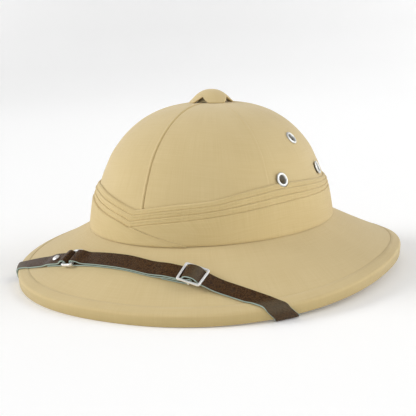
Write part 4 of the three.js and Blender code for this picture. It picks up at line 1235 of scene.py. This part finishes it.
leather = Finish("dark brown leather")
leather_where = leather.spots_in_mm()
# The bent mark says where the painted sheen goes.
edge, bent = leather.mark("cut_edge"), leather.mark("bent")
cells = leather.node("ShaderNodeTexVoronoi", {"feature": "F1"}, {"Vector": leather_where, "Scale": 1.0})
pores = leather.noise(leather_where, 1.1, 4.0, 0.7)
rub = leather.noise(leather_where, 0.12, 3.0, 0.6)
skin = leather.mix((cells * 1.1 + pores * 1.6 - 0.8).limit(), BROWN, DEEP_BROWN)
wear_and_sheen = leather.mix(((rub - 0.5) * 2.5).limit(), skin, RUBBED_BROWN)
# Painted sheen: a paler grey where the leather bends over the rim and over the buckle's bar.
wear_and_sheen = leather.mix(bent * (pores * 0.5 + 0.35), wear_and_sheen, BEND_SHEEN)
coat = leather.mix((edge * 1.3 - 0.15).limit(), wear_and_sheen, CUT_EDGE)
leather_relief = leather.node("ShaderNodeBump", inputs={
    "Height": cells * -0.8 + pores * 0.5, "Strength": 0.8, "Distance": 0.0004})
strap_leather = leather.set(Base_Color=coat, Roughness=(pores * 0.25 + 0.28 + edge * 0.3).limit(),
                            Normal=leather_relief, Specular_IOR_Level=0.16)
print("leather has", len(leather.tree.nodes), "nodes")

# %% [markdown]
# A strap is a flat oblong section with rounded edges, carried along a route. The route is a list of
# distances along the lane and heights over the skin. Cutting its corners twice rounds them, and even
# steps keep the faces alike.

# %% Strap body
LEATHER_ROUND, LEATHER_CROWN, ROUTE_STEP = 0.32, 0.05, 0.8
# Where the painted sheen comes in past the crease, where it fades, and how much of it fades
SHEEN_FROM, SHEEN_FADES, SHEEN_LOST = (1, 6), (9, 14), 0.6
HUMP_SHEEN_AT, HUMP_SHEEN_REACH = 2, 4


def smooth_route(route):
    """Rounds a route of (along, height) corners and samples it evenly."""
    route = np.array(route, dtype=float)
    for _ in range(2):
        cut = [route[:1]]
        for a, b in zip(route[:-1], route[1:]):
            cut.append(np.array([a * 0.75 + b * 0.25, a * 0.25 + b * 0.75]))
        route = np.concatenate([*cut, route[-1:]])
    length = run_lengths(route)
    even = np.linspace(0, length[-1], int(length[-1] / ROUTE_STEP) + 1)
    return np.stack([np.interp(even, length, route[:, k]) for k in range(2)], axis=-1)


def strap_section():
    """Rounded oblong in section: across, height and how much it is cut edge."""
    half, thick, corner = STRAP_WIDTH / 2, STRAP_THICKNESS / 2, LEATHER_ROUND
    wide = np.linspace(-half + 0.6, half - 0.6, 7)
    side = [(half - corner, thick - 0.02), (half - 0.08, thick - corner), (half, 0.0),
            (half - 0.08, -thick + corner), (half - corner, -thick + 0.02)]
    points = [(x, thick + LEATHER_CROWN * (1 - (x / half) ** 2)) for x in wide] + side
    points += [(-x, -thick) for x in wide] + [(-x, -z) for x, z in side]
    points = np.array(points)
    return points, (np.abs(points[:, 0]) > half - 0.1).astype(float)


def strap_mesh(name, route):
    """A strap along a route, with its cut edges and the places of its painted sheen marked."""
    route = smooth_route(route)
    heading = unit(np.gradient(route, axis=0))
    section, is_edge = strap_section()
    along = route[:, 0:1] - heading[:, 1:2] * section[None, :, 1]
    height = route[:, 1:2] + heading[:, 0:1] * section[None, :, 1]
    points = on_lane(along, section[None, :, 0], height)
    points[..., 2] = np.maximum(points[..., 2], 0)
    cloth = np.stack(np.broadcast_arrays(run_lengths(route)[:, None], run_lengths(section)), axis=-1)
    made = grid_mesh(name, points, around=False, cloth=cloth, caps=True)
    marks = np.broadcast_to(is_edge[None, :], points.shape[:2]).copy()
    marks[0], marks[-1] = 1, 1
    past_rim = np.interp(along, lane_along, lane_past)
    mark_points(made, "cut_edge", marks)
    # Painted sheen: full over the bend round the rim, weaker past it, and on the hump over the buckle's bar.
    sheen_over_rim = ease(*SHEEN_FROM, past_rim) * (1 - SHEEN_LOST * ease(*SHEEN_FADES, past_rim))
    sheen_on_hump = np.exp(-((along - buckle_middle - HUMP_SHEEN_AT) / HUMP_SHEEN_REACH) ** 2) * (height > THREE + 1)
    mark_points(made, "bent", np.maximum(sheen_over_rim, sheen_on_hump))
    return made


def half_turn(middle, level, radius, direction):
    """Half a circle of the route, round a bar, from below to above."""
    return [(middle + direction * radius * math.cos(a), level + radius * math.sin(a))
            for a in np.linspace(-math.pi / 2, math.pi / 2, 9)]


def level_run(start, end, level, count=6):
    """A stretch of the route at one height."""
    return [(a, level) for a in np.linspace(start, end, count)]


print("the strap's section has", len(strap_section()[0]), "points")

# %% [markdown]
# ## The long strap
#
# It starts under the buckle, goes round the buckle's middle bar, back to the ring, round the ring, and
# forward over itself and over the buckle's bar, where it makes a hump with a flat top. Then it bends over
# the rim. The route is written in that order, as it would be threaded, so each line can be checked by hand.

# %% Long strap mesh
def long_route():
    """The long strap from its tail under the buckle to its fixing on the wearer's left."""
    end, bar, run = along_at_x(STRAP_END_X), ring_middle + ring_bar, BUCKLE_LENGTH / 2
    mid = buckle_middle
    return [
        *level_run(end, end + 7, ONE, 3), (mid - 5, ONE + 0.4),
        *half_turn(mid, bar_level, bar_turn, 1),
        (mid - 3.5, bar_level + 0.4), (mid - run + 1, TWO + 0.2), (end + 2, TWO), (end - 6, ONE),
        *level_run(end - 14, bar + 8, ONE),
        *half_turn(bar, ring_level, ring_turn, -1),
        (bar + 4, ring_level + ring_turn - 0.3), (bar + 9, TWO + 0.2),
        *level_run(bar + 15, end - 8, TWO),
        *level_run(end + 1, mid - run + 2.2, THREE, 3),
        (mid - 5.9, THREE + 1.2), (mid - 5, hump_level - 0.9), (mid - 3.6, hump_level + 0.1),
        (mid - 1.5, hump_level + 0.4), (mid + 1.5, hump_level + 0.3), (mid + 3.6, hump_level - 0.5),
        (mid + 5.3, THREE + 1.5),
        (mid + run - 2.2, THREE), (mid + run, THREE - 0.2), (mid + run + 7, ONE + 0.8),
        *level_run(mid + run + 13, LANE_END, RIM, 40),
    ]


strap_long = strap_mesh("strap_long", long_route())
finish_piece(strap_long, strap_leather, "leather", "strap_left")

# %% [markdown]
# The short strap comes over the rim from its fixing on the wearer's right, passes round the ring and is
# folded back under itself. The stud holds that fold.

# %% Short strap mesh
def short_route():
    """The short strap from its fixing on the wearer's right to its tail under the stud."""
    tail, bar = along_at_x(STRAP_TAIL_X), ring_middle - ring_bar
    return [
        *level_run(0, tail - 12, RIM, 40), (tail - 6, ONE + 0.2), (tail + 1, TWO), (bar - 10, TWO),
        (bar - 6, TWO + 0.3), (bar - 3, ring_level + ring_turn - 0.3),
        *half_turn(bar, ring_level, ring_turn, 1)[::-1],
        (bar - 8, ONE), (tail, ONE),
    ]


strap_short = strap_mesh("strap_short", short_route())
finish_piece(strap_short, strap_leather, "leather", "strap_right")

# %% [markdown]
# ## Ring and buckle
#
# Both look like flat bright bar that was bent into a rectangle. A rounded square section is carried round
# a rectangle with rounded corners, in the strap's own coordinates, and then laid on the brim with the
# strap. A bevelled cube with a hole would be as quick, but it would stay flat over the curved brim.

# %% Bars along the lane
BAR_SIDES, BAR_SQUARENESS = 12, 0.32
RING_CORNER, BUCKLE_CORNER, BAR_STEP = 1.2, 0.9, 1.5


def rounded_square(half_wide, half_high):
    """A bar's section: nearly square, with soft edges that catch the light."""
    angle = np.linspace(0, 2 * np.pi, BAR_SIDES, endpoint=False) + np.pi / BAR_SIDES
    return np.stack([half_wide * signed_power(np.cos(angle), BAR_SQUARENESS),
                     half_high * signed_power(np.sin(angle), BAR_SQUARENESS)], axis=-1)


def bar_loop(name, middle, length, width, bar, level, thick, corner, turn=0.0):
    """A flat bar bent into a rectangle lying on the lane."""
    half_a, half_b = (length - bar) / 2, (width - bar) / 2
    path, ways = [], []
    for quarter, (sa, sb) in enumerate(((1, 1), (-1, 1), (-1, -1), (1, -1))):
        for a in np.linspace(0, math.pi / 2, 7) + quarter * math.pi / 2:
            path.append((sa * (half_a - corner) + corner * math.cos(a),
                         sb * (half_b - corner) + corner * math.sin(a)))
            ways.append((math.cos(a), math.sin(a)))
    path, ways = densify(np.array(path), np.array(ways))
    section = rounded_square(bar / 2, thick / 2)
    flat_a = path[:, 0:1] + ways[:, 0:1] * section[None, :, 0]
    flat_b = path[:, 1:2] + ways[:, 1:2] * section[None, :, 0]
    cosine, sine = math.cos(math.radians(turn)), math.sin(math.radians(turn))
    along, across = middle + flat_a * cosine - flat_b * sine, flat_a * sine + flat_b * cosine
    height = level + 0 * path[:, 0:1] + section[None, :, 1]
    return grid_mesh(name, on_lane(along, across, height))


def densify(path, ways):
    """Adds points to the straight runs, so that they can follow the brim."""
    new_path, new_ways = [], []
    for i in range(len(path)):
        j = (i + 1) % len(path)
        count = max(1, int(np.linalg.norm(path[j] - path[i]) / BAR_STEP))
        for k in range(count):
            new_path.append(path[i] + (path[j] - path[i]) * k / count)
            new_ways.append(unit(ways[i] + (ways[j] - ways[i]) * k / count))
    return np.array(new_path), np.array(new_ways)


ring = bar_loop("ring_frame", ring_middle, RING_LENGTH, RING_WIDTH, RING_WIRE, ring_level,
                RING_WIRE, RING_CORNER)
finish_piece(ring, bright_metal, "metal", "strap_ring")
buckle = bar_loop("buckle_frame", buckle_middle, BUCKLE_LENGTH, BUCKLE_WIDTH, BUCKLE_BAR, frame_level,
                  BUCKLE_THICKNESS, BUCKLE_CORNER, BUCKLE_TURN)

# %% [markdown]
# The buckle's middle bar lies lower than its frame and hangs from two short posts. It is joined to the
# frame's mesh, because frame, posts and bar are one part on the real buckle.

# %% Middle bar of the buckle
HALF_BAR, HALF_POST = 0.6, (0.75, 0.7)


def straight_bar(start, end, half_wide, half_high):
    """A bar between two points given as along, across and height."""
    start, end = np.array(start), np.array(end)
    way = unit(end - start)
    side = np.array([1.0, 0, 0])
    third = np.cross(way, side)
    section = rounded_square(half_wide, half_high)
    rows = start + (end - start) * np.linspace(0, 1, 8)[:, None]
    points = rows[:, None] + section[None, :, 0:1] * side + section[None, :, 1:2] * third
    return grid_mesh("bar", on_lane(*np.moveaxis(points, -1, 0)), around=False, caps=True)


post = (BUCKLE_WIDTH - BUCKLE_BAR) / 2
bars = [straight_bar((buckle_middle, -post, bar_level), (buckle_middle, post, bar_level),
                     HALF_BAR, HALF_BAR)]
for sign in (-1, 1):
    bars.append(straight_bar((buckle_middle, sign * post, bar_level - HALF_BAR),
                             (buckle_middle, sign * post, frame_level), *HALF_POST))


def join_meshes(target, others):
    """Makes several meshes into one object."""
    with bpy.context.temp_override(active_object=target, selected_editable_objects=[target, *others]):
        bpy.ops.object.join()


join_meshes(buckle, bars)
finish_piece(buckle, bright_metal, "metal", "strap_buckle")

# %% [markdown]
# ## Stud and rivets
#
# A small domed stud closes the fold of the short strap. Two flat rivets hold the strap's ends inside.
# All three are a pin with a head, so one profile is drawn and turned, with its own sizes for each.

# %% Stud and rivets
PIN_RADIUS, HEAD_EDGE, HEAD_ROUND = 1.0, 0.25, 0.15


def head_profile(pin_from, under, radius, height):
    """A pin with a low dome on it, as (radius, height) pairs."""
    dome = [(radius * math.cos(a), under + HEAD_EDGE + (height - HEAD_EDGE) * math.sin(a))
            for a in np.linspace(0, math.pi / 2 - 0.05, 8)]
    return [(0.01, pin_from), (PIN_RADIUS, pin_from), (PIN_RADIUS, under), (radius - HEAD_ROUND, under),
            *dome, (0.01, under + height)]


def lane_pin(name, along, profile):
    """Sets a turned profile upright on the lane."""
    foot, head = (on_lane(np.array([along]), np.zeros(1), np.array([h]))[0] for h in (0.0, 1.0))
    return spin(name, profile, 40, foot, unit(head - foot))


stud = lane_pin("stud_head", along_at_x(STUD_X), head_profile(0.3, 2 * LAYER + GAP, 2.9, 1.5))
finish_piece(stud, bright_metal, "metal", "strap_stud")
for side, along in (("left", LANE_END - END_MARGIN), ("right", END_MARGIN)):
    rivet = lane_pin(f"rivet_head_{side}", along, head_profile(-2.6, LAYER + 0.55, 3.6, 1.2))
    finish_piece(rivet, bright_metal, "metal", f"strap_rivet_{side}")

# %% [markdown]
# ## Studio
#
# The helmet stands on a plain pale floor. A wide soft light comes from the left of the camera, a weaker
# one from the right, and a pale sky fills the shadows. Suns are used and not area lamps, because a sun is
# equally strong everywhere, so the floor has no bright pool. The floor glows faintly, so that it comes out
# nearly white as in a catalogue picture, and it curves up all round, so that no horizon shows.

# %% Floor and lamps
FLOOR_SIDES = 96
FLOOR_PROFILE = [(0.8, 0.0), (2.0, 0.0), (2.3, 0.02), (2.6, 0.09), (2.85, 0.24), (3.0, 0.45),
                 (3.08, 0.75), (3.1, 1.1)]


def studio_floor():
    """Rings of points from the flat middle up the wall, with all faces turned upwards."""
    turn = np.linspace(0, 2 * np.pi, FLOOR_SIDES, endpoint=False)
    points = [(r * math.cos(a), r * math.sin(a), z) for r, z in FLOOR_PROFILE for a in turn]
    faces = []
    for ring_start in range(0, len(points) - FLOOR_SIDES, FLOOR_SIDES):
        for i in range(FLOOR_SIDES):
            here, beside = ring_start + i, ring_start + (i + 1) % FLOOR_SIDES
            faces.append((here, here + FLOOR_SIDES, beside + FLOOR_SIDES, beside))
    faces.append(tuple(range(FLOOR_SIDES)))
    made = new_object("floor", points, faces)
    made.data.materials.append(Finish("pale floor").set(
        Base_Color=(0.94, 0.94, 0.94), Roughness=0.9, Specular_IOR_Level=0.1,
        Emission_Color=(1.0, 1.0, 1.0), Emission_Strength=0.12))


def sun(name, comes_from, strength, softness):
    """A sun by the direction that it comes from, and its width in degrees."""
    light = bpy.data.lights.new(name, "SUN")
    light.energy, light.angle = strength, math.radians(softness)
    made = bpy.data.objects.new(name, light)
    made.rotation_euler = Vector(comes_from).to_track_quat("Z", "Y").to_euler()
    bpy.context.scene.collection.objects.link(made)


studio_floor()
sun("key light", (-0.83, -0.41, 0.40), 2.45, 35)
sun("fill light", (0.80, 0.36, 0.50), 1.35, 50)
world = bpy.data.worlds.new("studio")
world.use_nodes = True
sky = world.node_tree.nodes["Background"].inputs
sky["Color"].default_value = (1.0, 1.0, 1.0, 1.0)
sky["Strength"].default_value = 0.43
bpy.context.scene.world = world
bpy.context.scene.view_settings.view_transform = "Standard"
print("the studio has", len(bpy.data.lights), "lights and a pale sky")

# %% [markdown]
# ## Camera
#
# The camera stands in front of the helmet, on the wearer's left and slightly above the brim. Its angles
# were found by fitting the outline of the crown and the rim to the photograph. A Track To constraint
# would always put its target in the middle of the picture, so the three directions are worked out here.

# %% Camera
AZIMUTH, ELEVATION, DISTANCE = 27.757, 9.785, 700.0
TURN, NOD, ROLL = -0.442, -1.191, 1.257
FOCAL_PX, PICTURE_PX, SENSOR_MM = 842.873, 416, 36.0
TARGET = np.array([0.0, -0.34, 20.0 + LIFT])


def camera_axes():
    """The camera's right, up and back directions."""
    a, e = math.radians(AZIMUTH), math.radians(ELEVATION)
    back = np.array([math.sin(a) * math.cos(e), -math.cos(a) * math.cos(e), math.sin(e)])
    right = np.array([math.cos(a), math.sin(a), 0.0])
    up, ahead_way = np.cross(back, right), -back
    turn, nod, roll = (math.radians(v) for v in (TURN, NOD, ROLL))
    right, ahead_way = (right * math.cos(turn) - ahead_way * math.sin(turn),
                        right * math.sin(turn) + ahead_way * math.cos(turn))
    up, ahead_way = (up * math.cos(nod) - ahead_way * math.sin(nod),
                     up * math.sin(nod) + ahead_way * math.cos(nod))
    right, up = (right * math.cos(roll) - up * math.sin(roll),
                 right * math.sin(roll) + up * math.cos(roll))
    return right, up, -ahead_way, back


right, up, behind, back = camera_axes()
spot = (TARGET + back * DISTANCE) * MM
camera = bpy.data.objects.new("camera", bpy.data.cameras.new("camera"))
camera.data.sensor_width = SENSOR_MM
camera.data.lens = FOCAL_PX * SENSOR_MM / PICTURE_PX
camera.data.clip_start = 0.01
matrix = Matrix.Identity(4)
for column, way in enumerate((right, up, behind, spot)):
    for row in range(3):
        matrix[row][column] = float(way[row])
camera.matrix_world = matrix
bpy.context.scene.collection.objects.link(camera)
bpy.context.scene.camera = camera
print("camera at", [round(float(v), 3) for v in spot], "m, lens", round(camera.data.lens, 1), "mm")
